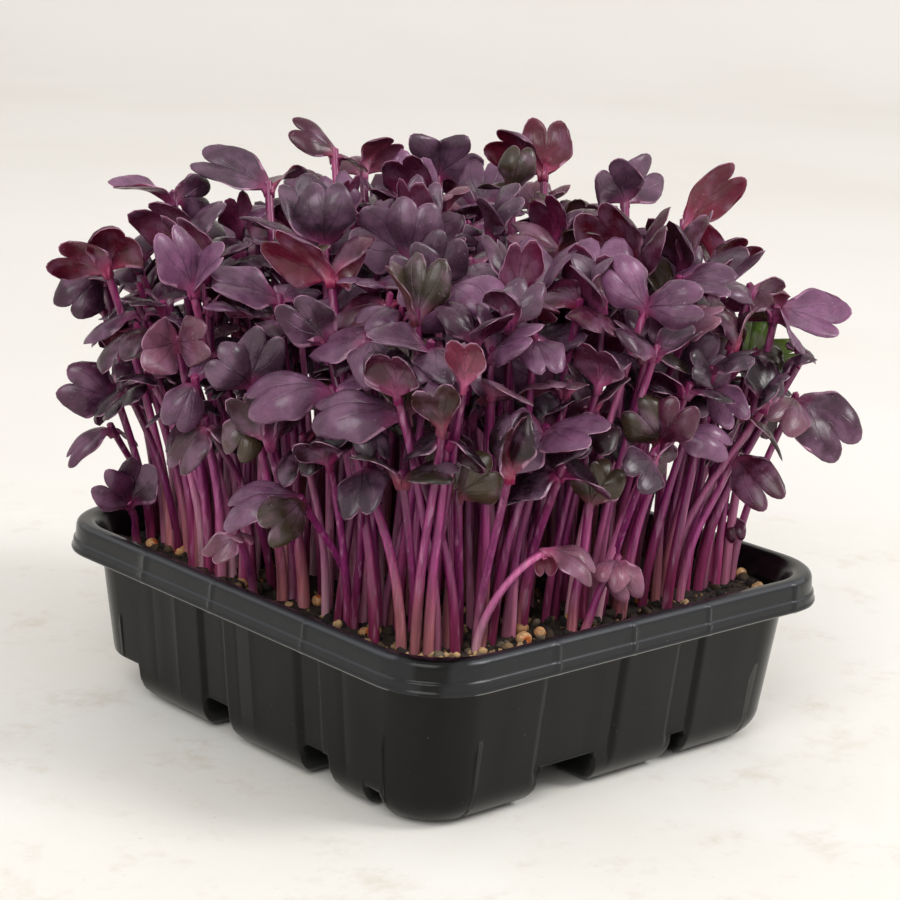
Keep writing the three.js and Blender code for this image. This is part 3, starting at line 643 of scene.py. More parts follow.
# Where the meshes are sampled along the X and Y sides: closely for the tray, plainly for the mix.
TRAY_LINES = (
    side_lines(GRID_X, edges_of(CHANNELS_ALONG_Y + PANELS_ON_Y_WALLS) + RECESS_EDGES, RIBS_ON_Y_SIDES),
    side_lines(GRID_Y, edges_of(CHANNELS_ALONG_X + PANELS_ON_X_WALLS + EDGE_PRESSINGS),
               RIBS_ON_X_SIDES + [line[0] for line in MOULD_LINES]),
)
MIX_LINES = (np.linspace(-GRID_X, GRID_X, 68), np.linspace(-GRID_Y, GRID_Y, 74))


def ring(inset, z, line_sets):
    """The rounded-rectangle outline a given distance inside the rim's, sampled alike at every inset."""
    radius = corner_radius(inset)
    centre_x, centre_y = RIM_X / 2 - inset - radius, RIM_Y / 2 - inset - radius
    sides = []
    for lines, centre in zip(line_sets, (centre_x, centre_y)):
        before = np.linspace(-centre, lines[0], SIDE_END_STEPS, endpoint=False)
        sides.append(np.concatenate([before, lines, -before[::-1]]))
    along_x, along_y = sides
    turns = np.linspace(0, np.pi / 2, CORNER_STEPS + 1)[1:-1]
    out, over = radius * np.cos(turns), radius * np.sin(turns)
    far_x, far_y = centre_x + radius, centre_y + radius
    outline = np.concatenate([
        np.column_stack([np.full(len(along_y), far_x), along_y]),
        np.column_stack([centre_x + out, centre_y + over]),
        np.column_stack([along_x[::-1], np.full(len(along_x), far_y)]),
        np.column_stack([-centre_x - over, centre_y + out]),
        np.column_stack([np.full(len(along_y), -far_x), along_y[::-1]]),
        np.column_stack([-centre_x - out, -centre_y - over]),
        np.column_stack([along_x, np.full(len(along_x), -far_y)]),
        np.column_stack([centre_x + over, -centre_y - out]),
    ])
    return np.column_stack([outline, np.full(len(outline), z)])


def channel_side(distance, height):
    """Height of a pressing `distance` outside its edge: a steep side that rounds into the foot."""
    radius = height * FOOT_ROUNDING
    rounded = radius - np.sqrt(np.maximum(radius ** 2 - (radius - np.clip(distance, 0, radius)) ** 2, 0))
    return lerp(rounded, height, smooth(0.5 - distance / EDGE_SOFTNESS))


def base_height(x, y, skin):
    """How high the base is pressed up at a place, for a face of the tray that lies `skin` inside it."""
    height = np.zeros(len(x))
    for at, width, top in CHANNELS_ALONG_X:
        height = np.maximum(height, channel_side(np.abs(y - at) - width / 2 - skin, top + skin))
    for at, width, top in CHANNELS_ALONG_Y:
        height = np.maximum(height, channel_side(np.abs(x - at) - width / 2 - skin, top + skin))
    for at, width, top, reach in EDGE_PRESSINGS:
        distance = np.maximum(np.abs(y - at) - width / 2, RIM_X / 2 - reach - np.abs(x)) - skin
        height = np.maximum(height, channel_side(distance, top + skin))
    return height


def panel_depth(along, z, panels, skin):
    """How far the panels of a wall are sunk at a place, with a fine groove along their edges."""
    fade = smooth((z - PANEL_BOTTOM + 5) / 5) * smooth((PANEL_TOP + skin - z) / EDGE_SOFTNESS + 0.5)
    depth = np.zeros(len(z))
    for at, width in panels:
        distance = np.abs(along - at) - width / 2 - skin
        sunk = PANEL_DEPTH * smooth(0.5 - distance / EDGE_SOFTNESS)
        depth += (sunk + GROOVE_DEPTH * np.exp(-((distance - 0.2) / 0.4) ** 2)) * fade
    return depth


def pressed(points, skin):
    """Presses the channels and panels into a face of the tray that lies `skin` inside it."""
    x, y, z = points.T.copy()
    flat_x, flat_y = np.abs(x) < GRID_X + 0.1, np.abs(y) < GRID_Y + 0.1
    upright = smooth((z - BASE_FILLET / 3) / BASE_FILLET)
    x_shift = panel_depth(y, z, PANELS_ON_X_WALLS, skin) * upright * flat_y * ~flat_x
    y_shift = panel_depth(x, z, PANELS_ON_Y_WALLS, skin) * upright * flat_x * ~flat_y
    height = base_height(x, y, skin)
    blend = 0.12 * height
    lifted = (z + height + np.sqrt((z - height) ** 2 + blend ** 2)) / 2
    z = np.where(height > 0, lifted, z)
    return np.column_stack([x - np.sign(x) * x_shift, y - np.sign(y) * y_shift, z])


def fluted(points):
    """Faint upright ripples and lines that the mould left in the walls."""
    x, y, z = points.T.copy()
    fade = smooth((z - 4) / 6) * smooth((SKIRT_BOTTOM + 3 - z) / 4)
    on_x = (np.abs(x) > RIM_X / 2 - FLOOR_INSET) & (np.abs(y) < RIM_Y / 2 - CORNER_RADIUS + 2)
    ripple_y = 0.03 * np.sin(y * 0.55 + 0.6 * np.sin(y * 0.21))
    for at, high, width in MOULD_LINES:
        ripple_y = ripple_y - high * np.exp(-((y - at) / width) ** 2)
    ripple_x = 0.03 * np.sin(x * 0.5 + 0.4)
    x = np.where(on_x, x - np.sign(x) * ripple_y * fade, x)
    y = np.where(on_x, y, y - np.sign(y) * ripple_x * fade)
    return np.column_stack([x, y, z])


def ribbed(points):
    """Small upright ribs standing on the skirt."""
    x, y, z = points.T.copy()
    tall = smooth((z - SKIRT_BOTTOM + 0.3) / 0.5) * smooth((RIM_TOP + 0.1 - z) / 0.5)
    proud = RIB_PROUD * 0.7
    for at in RIBS_ON_X_SIDES:
        share = smooth(1.2 - np.abs(y - at) / RIB_WIDTH * 1.8) * tall * (np.abs(x) > RIM_X / 2 - 2.4)
        x = lerp(x, np.sign(x) * np.minimum(np.abs(x) + proud, RIM_X / 2), share)
    for at in RIBS_ON_Y_SIDES:
        share = smooth(1.2 - np.abs(x - at) / RIB_WIDTH * 1.8) * tall * (np.abs(y) > RIM_Y / 2 - 2.4)
        y = lerp(y, np.sign(y) * np.minimum(np.abs(y) + proud, RIM_Y / 2), share)
    return np.column_stack([x, y, z])


def fillet_levels(skin, steps):
    """Levels round the fillet between wall and floor, from the wall down to the floor."""
    radius = BASE_FILLET - skin
    turns = np.linspace(np.pi / 2, 0, steps + 1)
    return [(FLOOR_INSET - radius * math.sin(turn), BASE_FILLET - radius * math.cos(turn)) for turn in turns]


def floor_levels(z):
    """Levels of the flat floor from the fillet in to the square grid."""
    return [(inset, z) for inset in (16.1, 17, 18.2, GRID_INSET)]


def ring_stack(levels, lines=TRAY_LINES):
    """Rings at given insets and heights, joined by faces."""
    rings = np.array([ring(inset, z, lines) for inset, z in levels])
    return rings.reshape(-1, 3), grid_faces(len(rings), rings.shape[1], wrap=True)


def floor_grid(z, lines=TRAY_LINES):
    """The square grid that closes the middle of a floor."""
    grid_x, grid_y = np.meshgrid(*lines)
    points = np.column_stack([grid_x.ravel(), grid_y.ravel(), np.full(grid_x.size, z)])
    return points, grid_faces(*grid_x.shape)


def rim_wear(points):
    """Painted sheen added to the rim's colour and, more strongly, painted highlights along its edges."""
    inset = -np.maximum(np.abs(points[:, 0]) - RIM_X / 2, np.abs(points[:, 1]) - RIM_Y / 2)
    up = points[:, 2] - SKIRT_BOTTOM
    painted_light = (smooth((up + 0.2) / 0.4) * smooth((3.6 - inset) / 0.8))[:, None] * linear(RIM_PAINTED_SHEEN)
    for height, width, reach, colour in PAINTED_HIGHLIGHT_LINES:
        painted_light += (np.exp(-((up - height) / width) ** 2) * (inset < reach))[:, None] * linear(colour)
    return painted_light


def tray_piece():
    """The tray: rim and skirt, inner face, outer face and the skirt's lower edge. Over the channels the
    pressed faces miss the rim and the skirt's inside by hundredths of a millimetre, which leaves a seam."""
    skirt = [(inset, SKIRT_BOTTOM + up) for inset, up in SKIRT_PROFILE]
    lip = [(inset, RIM_TOP - down) for inset, down in LIP_PROFILE]
    inner = [(wall_inset(z) + SHEET, z) for z in INSIDE_HEIGHTS]
    outer = [(inset, SKIRT_BOTTOM + up) for inset, up in SKIRT_INSIDE]
    under_skirt = ring_stack(outer + [(wall_inset(OUTSIDE_HEIGHTS[0]), OUTSIDE_HEIGHTS[0])])
    outside, outside_faces = ring_stack(
        [(wall_inset(z), z) for z in OUTSIDE_HEIGHTS] + fillet_levels(0, 9) + floor_levels(0))
    inside, inside_faces = ring_stack([lip[-1]] + inner + fillet_levels(SHEET, 4) + floor_levels(SHEET))
    rim, rim_faces = ring_stack(skirt + lip)
    edge, edge_faces = ring_stack([skirt[0], outer[0]])
    inner_floor, inner_faces = floor_grid(SHEET)
    outer_floor, outer_faces = floor_grid(0)
    points, quads, triangles = welded(*stacked([
        (ribbed(rim), rim_faces),
        (pressed(inside, SHEET), inside_faces),
        (pressed(inner_floor, SHEET), inner_faces),
        (under_skirt[0], under_skirt[1][:, ::-1]),
        (pressed(fluted(outside), 0), outside_faces[:, ::-1]),
        (pressed(outer_floor, 0), outer_faces[:, ::-1]),
        (ribbed(edge), edge_faces[:, ::-1]),
    ]))
    surface = Surface()
    # The rim's colour carries painted sheen and painted highlight lines.
    surface.add(points, quads, rim_wear(points))
    surface.add_faces(triangles)
    tray = surface.build("tray_shell", [plastic_material()])
    drill_drain_holes(tray)
    return tray


def add_drill(surface, x, y, height):
    """One closed upright cylinder round a place in the floor."""
    sides = DRAIN_HOLE_SIDES
    turn = np.linspace(0, 2 * np.pi, sides, endpoint=False)
    circle = DRAIN_HOLE_RADIUS * np.column_stack([np.cos(turn), np.sin(turn)]) + (x, y)
    low, high = height - DRILL_REACH, height + DRILL_REACH
    bottom, top = (np.column_stack([circle, np.full(sides, z)]) for z in (low, high))
    fan = [(sides, k, (k + 1) % sides) for k in range(sides)]
    surface.add(np.concatenate([bottom, top]), grid_faces(2, sides, wrap=True), 0)
    surface.add(np.vstack([bottom, (x, y, low)]), np.array(fan)[:, ::-1], 0)
    surface.add(np.vstack([top, (x, y, high)]), fan, 0)


def drill_drain_holes(tray):
    """Round holes through the raised floor where the channels cross."""
    drills = Surface()
    for (y, _, height), (x, _, _) in itertools.product(CHANNELS_ALONG_X, CHANNELS_ALONG_Y):
        add_drill(drills, x, y, height)
    drill = drills.build("drill", [])
    joined = drill.modifiers.new("joined", "WELD")
    joined.merge_threshold = 1e-6
    cut = tray.modifiers.new("holes", "BOOLEAN")
    cut.operation = "DIFFERENCE"
    cut.solver = "EXACT"
    cut.object = drill
    apply_modifiers(tray)
    bpy.data.objects.remove(drill)


def apply_modifiers(piece):
    """Makes what the piece's modifiers give its own mesh."""
    graph = bpy.context.evaluated_depsgraph_get()
    mesh = bpy.data.meshes.new_from_object(piece.evaluated_get(graph))
    piece.modifiers.clear()
    piece.data = mesh


def bumpiness(points):
    """Height of the loose surface of the mix above its level."""
    return np.array([
        1.1 * noise.noise((x * 0.11, y * 0.11, 3.1)) + 0.8 * noise.noise((x * 0.34, y * 0.34, 8.7))
        + 0.45 * noise.noise((x * 0.95, y * 0.95, 1.9)) for x, y, _ in points])


def mix_piece():
    """The potting mix: it fills the tray to its walls and has a loose, uneven top."""
    skin = SHEET + 0.05
    top_inset = wall_inset(SOIL_TOP) + skin
    insets = np.append(np.arange(top_inset, GRID_INSET - 0.4, 0.8), GRID_INSET)
    top = ring_stack([(inset, SOIL_TOP) for inset in insets], MIX_LINES)
    sides = [(top_inset, SOIL_TOP)]
    sides += [(wall_inset(z) + skin, z) for z in (30.8, 29.8, 24, 17, 12, 10, 9.2)]
    side, side_faces = ring_stack(sides + fillet_levels(skin, 4) + floor_levels(skin), MIX_LINES)
    base, base_faces = floor_grid(skin, MIX_LINES)
    points, quads, triangles = welded(*stacked([
        top, floor_grid(SOIL_TOP, MIX_LINES), (pressed(side, skin), side_faces[:, ::-1]),
        (pressed(base, skin), base_faces[:, ::-1])]))
    on_top = points[:, 2] > SOIL_TOP - 0.01
    points[on_top, 2] += bumpiness(points[on_top])
    surface = Surface()
    surface.add(points, quads, linear((40, 28, 20)))
    surface.add_faces(triangles)
    return surface.build("potting_mix", [soil_material()])


def soil_height(x, y):
    """Height of the mix's surface at a place."""
    return SOIL_TOP + float(bumpiness([(x, y, 0)])[0])


# ---------------------------------------------------------------- crumbs, grit and hulls
def ball(subdivisions):
    """Points and faces of a round ball of radius 1."""
    bpy.ops.mesh.primitive_ico_sphere_add(subdivisions=subdivisions, radius=1)
    made = bpy.context.object
    points = np.array([vertex.co[:] for vertex in made.data.vertices])
    faces = np.array([face.vertices[:] for face in made.data.polygons])
    bpy.data.objects.remove(made)
    return points, faces


def random_turn(rng):
    """A random rotation matrix."""
    turned, _ = np.linalg.qr(rng.normal(size=(3, 3)))
    return turned * np.sign(np.linalg.det(turned))


def scatter_place(rng):
    """A place on the mix, more often near its edges, where it shows."""
    half_x, half_y = RIM_X / 2 - 7, RIM_Y / 2 - 7
    while True:
        x, y = rng.uniform(-half_x, half_x), rng.uniform(-half_y, half_y)
        corner = max(abs(x) - half_x + 9, 0) ** 2 + max(abs(y) - half_y + 9, 0) ** 2
        edge = min(half_x - abs(x), half_y - abs(y))
        if corner < 81 and rng.random() < 0.25 + 0.75 * math.exp(-edge / 9):
            return x, y


def corner_place(rng):
    """A place on the mix in the front corner, where the seedlings leave it bare."""
    while True:
        x, y = rng.normal(-40, 9), rng.normal(-48, 7)
        if -50 < x < 10 and -56 < y < 0 and x + y > -101:
            return x, y


def lumps(name, count, size, flatness, roughness, colours, shape, material, rng, place=scatter_place):
    """Loose lumps lying on the mix, each turned, stretched and dented its own way."""
    base, faces = shape
    surface = Surface()
    for _ in range(count):
        x, y = place(rng)
        radius = rng.uniform(*size)
        stretch = np.array([rng.uniform(0.8, 1.3), rng.uniform(0.7, 1.1), rng.uniform(*flatness)])
        dents = 1 + rng.normal(0, roughness, (len(base), 1))
        points = (base * dents * stretch * radius) @ random_turn(rng).T
        points += (x, y, soil_height(x, y) + radius * 0.3)
        tint = linear(colours[rng.integers(len(colours))]) * rng.uniform(0.7, 1.25)
        surface.add(points, faces, tint)
    return surface.build(name, [material])


def hulls(name, places, rng):
    """Round seed coats, each with the orange mouth that the sprout left by."""
    base, faces = ball(3)
    surface = Surface()
    for x, y in places:
        radius = rng.uniform(1.2, 1.7)
        mouth = unit(np.array([rng.normal(), rng.normal(), rng.uniform(0, 1.5)]))
        towards = base @ mouth
        dent = smooth((towards - 0.84) / 0.12)
        wrinkle = 1 + 0.04 * np.sin(base @ rng.normal(0, 6, 3)) + 0.03 * np.sin(base @ rng.normal(0, 9, 3))
        points = base * (wrinkle - 0.34 * dent)[:, None] * radius * (1, 1, 0.9)
        points += (x, y, soil_height(x, y) + radius * 0.6)
        shell = linear(HULL_COLOURS[rng.integers(len(HULL_COLOURS))])
        tint = lerp(shell, linear(HULL_MOUTH), smooth((towards - 0.7) / 0.15)[:, None])
        surface.add(points, faces, tint)
    return surface.build(name, [grain_material("seed_hull", 0.55, 1600)])


# ---------------------------------------------------------------- seedlings
# Rings and sides of a stem's mesh, rows and columns of a leaf's, and the stem's share of its full
# thickness: for the named plants and for those between them.
FULL_DETAIL = {"rings": 24, "sides": 10, "rows": 20, "columns": 18, "thickness": 0.92}
LESS_DETAIL = {"rings": 12, "sides": 6, "rows": 10, "columns": 10, "thickness": 0.86}
SWAY = 0.35                    # how far a stem wanders from its curve
JOINT = 0.2                    # share of the leaf's length at which its stalk has turned into the blade
STALK_START = 3.2              # how far below the crown a leaf's stalk leaves the stem
LEAST_CURL = 0.02              # radians: a flat leaf is bent this little, so that its arc has a radius
LEAST_BEND = 1e-3              # the same across a leaf, in radians for each mm


def stem_points(foot, crown, bow, count):
    """The stem's centre line, and its direction at each point."""
    start = np.array([*foot, SOIL_TOP - ROOT_DEPTH], float)
    rise = np.array(crown, float) - start
    lower = start + (0, 0, 0.4 * rise[2])
    upper = start + rise * (0.58, 0.58, 0.7) + bow
    t = np.linspace(0, 1, count)[:, None]
    back = 1 - t
    crown = np.array(crown, float)
    points = back ** 3 * start + 3 * back ** 2 * t * lower + 3 * back * t ** 2 * upper + t ** 3 * crown
    slope = back ** 2 * (lower - start) + 2 * back * t * (upper - lower) + t ** 2 * (crown - upper)
    return points, unit(slope)


def stem_tint(along, turn, colours, rng):
    """Colours of a stem's rings, from foot to top, with streaks along it."""
    low, middle, high = (linear(colour) for colour in colours)
    lower = smooth((along - 0.1) / 0.35)[:, None]
    upper = smooth((along - 0.6) / 0.4)[:, None]
    tint = lerp(lerp(low, middle, lower), high, upper)
    streak = 1 + 0.16 * np.sin(turn * 2 + rng.uniform(0, 6)) + 0.1 * rng.normal(size=len(turn))
    return (tint[:, None] * streak[:, None]).reshape(-1, 3)


def add_stem(surface, foot, crown, bow, colours, rng, detail):
    """One stem: a bent tube that is thickest at its foot, pale below and dark above."""
    rings, sides = detail["rings"], detail["sides"]
    points, directions = stem_points(foot, crown, bow, rings)
    along = np.linspace(0, 1, rings)
    sway = SWAY * np.sin(along * np.pi) * np.sin(along * rng.uniform(4, 9) + rng.uniform(0, 6))
    swayed = rng.uniform(0, 2 * np.pi)
    points = points + sway[:, None] * (math.cos(swayed), math.sin(swayed), 0)
    across = np.array([1.0, 0, 0])
    first = unit(np.cross(directions, np.cross(across, directions)))
    second = np.cross(directions, first)
    turn = np.linspace(0, 2 * np.pi, sides, endpoint=False)
    taper = 1.12 - 0.3 * smooth(along * 1.6) + 0.04 * along ** 6
    radius = STEM_RADIUS * detail["thickness"] * rng.uniform(0.88, 1.03) * taper
    flat = 1 + 0.1 * np.cos(2 * turn + rng.uniform(0, 6))
    offset = (first[:, None] * np.cos(turn)[:, None] + second[:, None] * np.sin(turn)[:, None])
    tube = points[:, None] + offset * (radius[:, None] * flat)[..., None]
    tint = stem_tint(along, turn, colours, rng)
    surface.add(tube, grid_faces(rings, sides, wrap=True), tint, look=1)
    for end, ring_index, way in [(points[0], 0, -1), (points[-1], rings - 1, 1)]:
        tip = end + directions[ring_index] * way * 0.5 * STEM_RADIUS
        fan = [(sides, (k + 1) % sides, k)[::way] for k in range(sides)]
        surface.add(np.vstack([tube[ring_index], tip]), fan, tint[ring_index * sides], look=1)
    return points, directions


# Three habits of a seed leaf: open and gently curled, drooping at its tip, or hollowed like a spoon. Curl
# is in degrees from stalk to tip and cup in radians across the blade; the rest are shares of its size.
HABITS = {
    "open": {"curl": (20, 55), "cup": (-1, 0.2), "fold": (0, 0.12), "rolls": (0.02, 0.14),
             "droop": (0, 0.06)},
    "drooping": {"curl": (60, 105), "cup": (-1.5, -0.3), "fold": (0, 0.08), "rolls": (0.05, 0.24),
                 "droop": (0.03, 0.12)},
    "hollow": {"curl": (-10, 20), "cup": (0.3, 1.2), "fold": (0.08, 0.26), "rolls": (0, 0.06),
               "droop": (0, 0.1)},
}
HABIT_SHARES = [("open", 0.45), ("drooping", 0.37), ("hollow", 0.18)]


def leaf_form(rng, given):
    """How a leaf departs from the plain shape."""
    habit = given.get("habit")
    if habit is None:
        habit = rng.choice([name for name, _ in HABIT_SHARES], p=[share for _, share in HABIT_SHARES])
    form = {key: rng.uniform(*limits) for key, limits in HABITS[str(habit)].items()}
    form.update({
        "left_roll": form["rolls"] * rng.uniform(0.3, 1.4),
        "right_roll": form["rolls"] * rng.uniform(0.3, 1.4),
        "wave": rng.uniform(0.004, 0.028), "waves": rng.uniform(0.7, 1.7), "phase": rng.uniform(0, 6.3),
        "notch": rng.uniform(0.16, 0.3), "shoulder": rng.uniform(0.4, 0.55), "fullness": rng.uniform(0.7, 1),
        "twist": rng.normal(0, 9), "lopsided": rng.normal(0, 0.05), "quilt": rng.uniform(0.05, 0.16),
        "rounding": rng.uniform(0.42, 0.56), "wide": rng.uniform(1, 1.17),
    })
    form.update(given)
    return form


def tip_at(across, form, slenderness):
    """How far along the blade its tip lies: two round lobes with a notch between."""
    from_middle = np.abs(across)
    split = form["rounding"]
    inner = np.clip(1 - from_middle / split, 0, 1)
    outer = np.clip((from_middle - split) / (1 - split), 0, 1)
    notch = 1 - form["notch"] * (1 - np.sqrt(np.clip(1 - inner ** 2, 0, 1))) ** 0.85
    shoulder = 1 - form["shoulder"] * slenderness
    tip = np.where(from_middle < split, notch, lerp(shoulder, 1, np.sqrt(1 - outer ** 2)))
    return tip * (1 + form["lopsided"] * across)


def half_width_at(along, form):
    """Half of the blade's width, as a share of the full width: a narrow neck that opens to the lobes."""
    opened = np.sin(np.pi / 2 * np.clip((along - 0.14) / 0.5, 0, 1)) ** form["fullness"]
    closed = 1 - 0.14 * np.clip((along - 0.66) / 0.34, 0, 1) ** 2
    return NECK + (0.5 - NECK) * opened * closed


def hermite(share, start, start_slope, end, end_slope):
    """A point on a smooth curve between two places, and its direction."""
    s = share[..., None]
    point = ((2 * s ** 3 - 3 * s ** 2 + 1) * start + (s ** 3 - 2 * s ** 2 + s) * start_slope
             + (3 * s ** 2 - 2 * s ** 3) * end + (s ** 3 - s ** 2) * end_slope)
    slope = ((6 * s ** 2 - 6 * s) * start + (3 * s ** 2 - 4 * s + 1) * start_slope
             + (6 * s - 6 * s ** 2) * end + (3 * s ** 2 - 2 * s) * end_slope)
    return point, unit(slope)


def turned_with(vector, before, after):
    """A vector turned by the least turn that takes the direction `before` to `after`."""
    axis = np.cross(before, after)
    cosine = np.clip((before * after).sum(-1, keepdims=True), -0.999, 1)
    return vector * cosine + np.cross(axis, vector) + axis * (axis @ vector)[..., None] / (1 + cosine)


def leaf_axes(pose):
    """Directions along and across a leaf, and out of its upper face."""
    heading, rise, roll = np.radians(pose)
    chord = np.array([math.cos(rise) * math.cos(heading), math.cos(rise) * math.sin(heading), math.sin(rise)])
    level = np.array([math.sin(heading), -math.cos(heading), 0])
    side = level * math.cos(roll) - np.cross(chord, level) * math.sin(roll)
    return chord, side, np.cross(side, chord)


def arc(share, root, curl, length, chord, face):
    """A point along a circular arc that rises above its chord, and the arc's direction there."""
    turned = curl * (0.5 - share)
    forward = (math.sin(curl / 2) - np.sin(turned)) / curl * length
    upward = (np.cos(turned) - math.cos(curl / 2)) / curl * length
    point = root + chord * forward[..., None] + face * upward[..., None]
    return point, chord * np.cos(turned)[..., None] + face * np.sin(turned)[..., None]


def leaf_spine(crown, stem_direction, length, pose, form, reach):
    """The leaf's midrib: its points and its directions across the blade and upwards."""
    chord, side, face = leaf_axes(pose)
    curl = math.radians(form["curl"])
    curl = curl if abs(curl) > LEAST_CURL else LEAST_CURL
    bow = (crown - stem_direction * STEM_RADIUS, curl, length, chord, face)
    point, tangent = arc(reach, *bow)
    join_point, join_tangent = arc(np.array(JOINT), *bow)
    start = crown - stem_direction * STALK_START
    span = np.linalg.norm(join_point - start) * 1.1
    stalk, stalk_tangent = hermite(
        np.clip(reach / JOINT, 0, 1), start, stem_direction * span, join_point, join_tangent * span)
    on_stalk = (reach < JOINT)[..., None]
    point = np.where(on_stalk, stalk, point)
    tangent = np.where(on_stalk, stalk_tangent, tangent)
    sideways = turned_with(side, join_tangent, tangent)
    up = np.cross(sideways, tangent)
    twist = math.radians(form["twist"]) * smooth((reach - JOINT) / 0.8)[..., None]
    turned_side = sideways * np.cos(twist) + up * np.sin(twist)
    turned_up = up * np.cos(twist) - sideways * np.sin(twist)
    return point, turned_side, turned_up


def leaf_lift(form, width, length, across, along, reach, offset):
    """How far the blade rises from its midrib's plane: fold, waves, rolled sides, hanging tip, quilting."""
    blade = smooth((along - 0.1) / 0.3)
    lift = form["fold"] * (np.sqrt(offset ** 2 + 0.6) - math.sqrt(0.6)) * blade
    ripple = np.sin(2 * np.pi * form["waves"] * along + form["phase"] + 1.7 * np.sign(across))
    lift = lift + form["wave"] * width * ripple * across ** 2 * blade
    rolls = np.where(across < 0, form["left_roll"], form["right_roll"])
    lift = lift - rolls * width * across ** 4 * blade
    lobe = np.sin(np.pi * np.clip(np.abs(across), 0, 1)) * smooth((reach - 0.3) / 0.5)
    lift = lift + 0.035 * width * lobe
    lift = lift - form["droop"] * length * smooth((reach - 0.5) / 0.6)
    pucker = np.sin(offset * 1.15 + form["phase"]) * np.sin(reach * length * 0.9 + form["phase"] * 2)
    return lift + form["quilt"] * pucker * blade


def leaf_middle(crown, stem_direction, size, pose, form, across, along):
    """The leaf's middle surface, the place along the leaf and the distance across it."""
    length, width = size
    reach = along * tip_at(across, form, width / length)
    point, sideways, up = leaf_spine(crown, stem_direction, length, pose, form, reach)
    offset = across * half_width_at(along, form) * width
    bend = form["cup"] / width
    bend = bend if abs(bend) > LEAST_BEND else LEAST_BEND
    lateral = np.sin(bend * offset) / bend
    lift = (1 - np.cos(bend * offset)) / bend + leaf_lift(form, width, length, across, along, reach, offset)
    return point + sideways * lateral[..., None] + up * lift[..., None], reach, offset


def surface_normals(point):
    """Directions out of a grid of points."""
    normal = np.cross(np.gradient(point, axis=1), np.gradient(point, axis=0))
    size = np.linalg.norm(normal, axis=-1, keepdims=True)
    return normal / np.maximum(size, 1e-9)


def leaf_grid(rows, columns):
    """Places over a blade, -1 to 1 across and 0 to 1 along, closer together at its margins and tip."""
    lobe = 0.5 * (1 - np.cos(np.linspace(0, np.pi, columns // 2 + 1)))
    share = np.linspace(0, 1, rows + 1)
    share = 0.45 * share + 0.55 * (1 - (1 - share) ** 1.7)
    return np.meshgrid(np.concatenate([-lobe[:0:-1], lobe]), share)


def leaf_tints(reach, along, profile, colours):
    """Colours of a leaf's two faces, which turn to the stalk's at the base and below the midrib."""
    upper, lower, stalk = (linear(colour) for colour in colours)
    base = (1 - smooth((reach - 0.05) / 0.22))[..., None]
    shade = (0.8 + 0.2 * smooth((reach - 0.2) / 0.4))[..., None]
    midrib = 0.5 * profile[..., None] * (1 - along[..., None])
    top_tint = lerp(upper * shade, stalk * 0.9, base * 0.9)
    under_tint = lerp(lower, stalk * 1.1, np.maximum(base, midrib))
    return np.concatenate([top_tint.reshape(-1, 3), under_tint.reshape(-1, 3)])


def shell_faces(rows, columns):
    """Faces of a closed shell: an upper grid, a lower grid and the rim between them."""
    count = rows * columns
    faces = grid_faces(rows, columns)
    index = np.arange(count).reshape(rows, columns)
    border = np.concatenate([index[0, :-1], index[:-1, -1], index[-1, :0:-1], index[:0:-1, 0]])
    following = np.roll(border, -1)
    rim = np.stack([border, border + count, following + count, following], -1)
    return np.concatenate([faces, faces[:, ::-1] + count, rim])


def add_leaf(surface, crown, stem_direction, size, pose, form, colours, detail):
    """One seed leaf as a thin closed shell: blade, midrib and stalk together."""
    length, width = size
    across, along = leaf_grid(detail["rows"], detail["columns"])
    middle, reach, offset = leaf_middle(crown, stem_direction, size, pose, form, across, along)
    normal = surface_normals(middle)
    half_width = half_width_at(along, form) * width
    tip = tip_at(across, form, width / length)
    edge = np.minimum((1 - np.abs(across)) * half_width, (1 - along) * length * tip)
    edge = np.where(along < 0.25, 2.0, edge)
    thickness = 0.1 + 0.32 * np.sqrt(smooth(edge / 0.9))
    stalk = 1 - smooth((along - 0.08) / 0.42)
    ridge = 1.05 * stalk + 0.26 * (1 - along)
    profile = np.exp(-(offset / lerp(0.42, 0.85, stalk)) ** 2)
    top = middle + normal * (thickness / 2 + profile * (0.3 * stalk - 0.12 * (1 - stalk)))[..., None]
    under = middle - normal * (thickness / 2 + profile * ridge)[..., None]
    places = np.stack([offset / width, reach, np.ones_like(reach)], -1).reshape(-1, 3)
    surface.add(
        np.concatenate([top.reshape(-1, 3), under.reshape(-1, 3)]), shell_faces(*edge.shape),
        leaf_tints(reach, along, profile, colours),
        np.concatenate([places, places * (1, 1, -1)]), np.tile(edge.ravel(), 2))
    return middle.reshape(-1, 3)


def add_seedling(surface, row, rng, second=None, detail=FULL_DETAIL, forms=({}, {}), painted_shade_factor=1.0):
    """Adds one plant, darkened by painted shade where its factor is below 1, and returns points all over it.
    """
    colour, foot, crown, blade, *leaves = row
    bow = leaves.pop() if len(leaves) == 3 else [0, 0, 0]
    # Painted shade: the factor darkens the stem and, below, the leaves of plants low in the stand.
    stem_colours = np.array(STEM_COLOURS[rng.integers(len(STEM_COLOURS))]) * (0.75 + 0.25 * painted_shade_factor)
    points, directions = add_stem(surface, foot, crown, np.array(bow, float), stem_colours, rng, detail)
    taken = [points]
    for number, (heading, rise, roll, share) in enumerate(leaves):
        form = leaf_form(rng, forms[number])
        shade = rng.uniform(0.84, 1.16) * painted_shade_factor
        upper, under, stalk = PALETTE[second if number == 1 and second else colour]
        colours = [np.array(upper) * shade, np.array(under) * shade, stalk]
        size = np.array(blade) * share * (1, form["wide"])
        pose = (heading, rise, roll)
        taken.append(add_leaf(surface, points[-1], directions[-1], size, pose, form, colours, detail))
    return np.concatenate(taken)


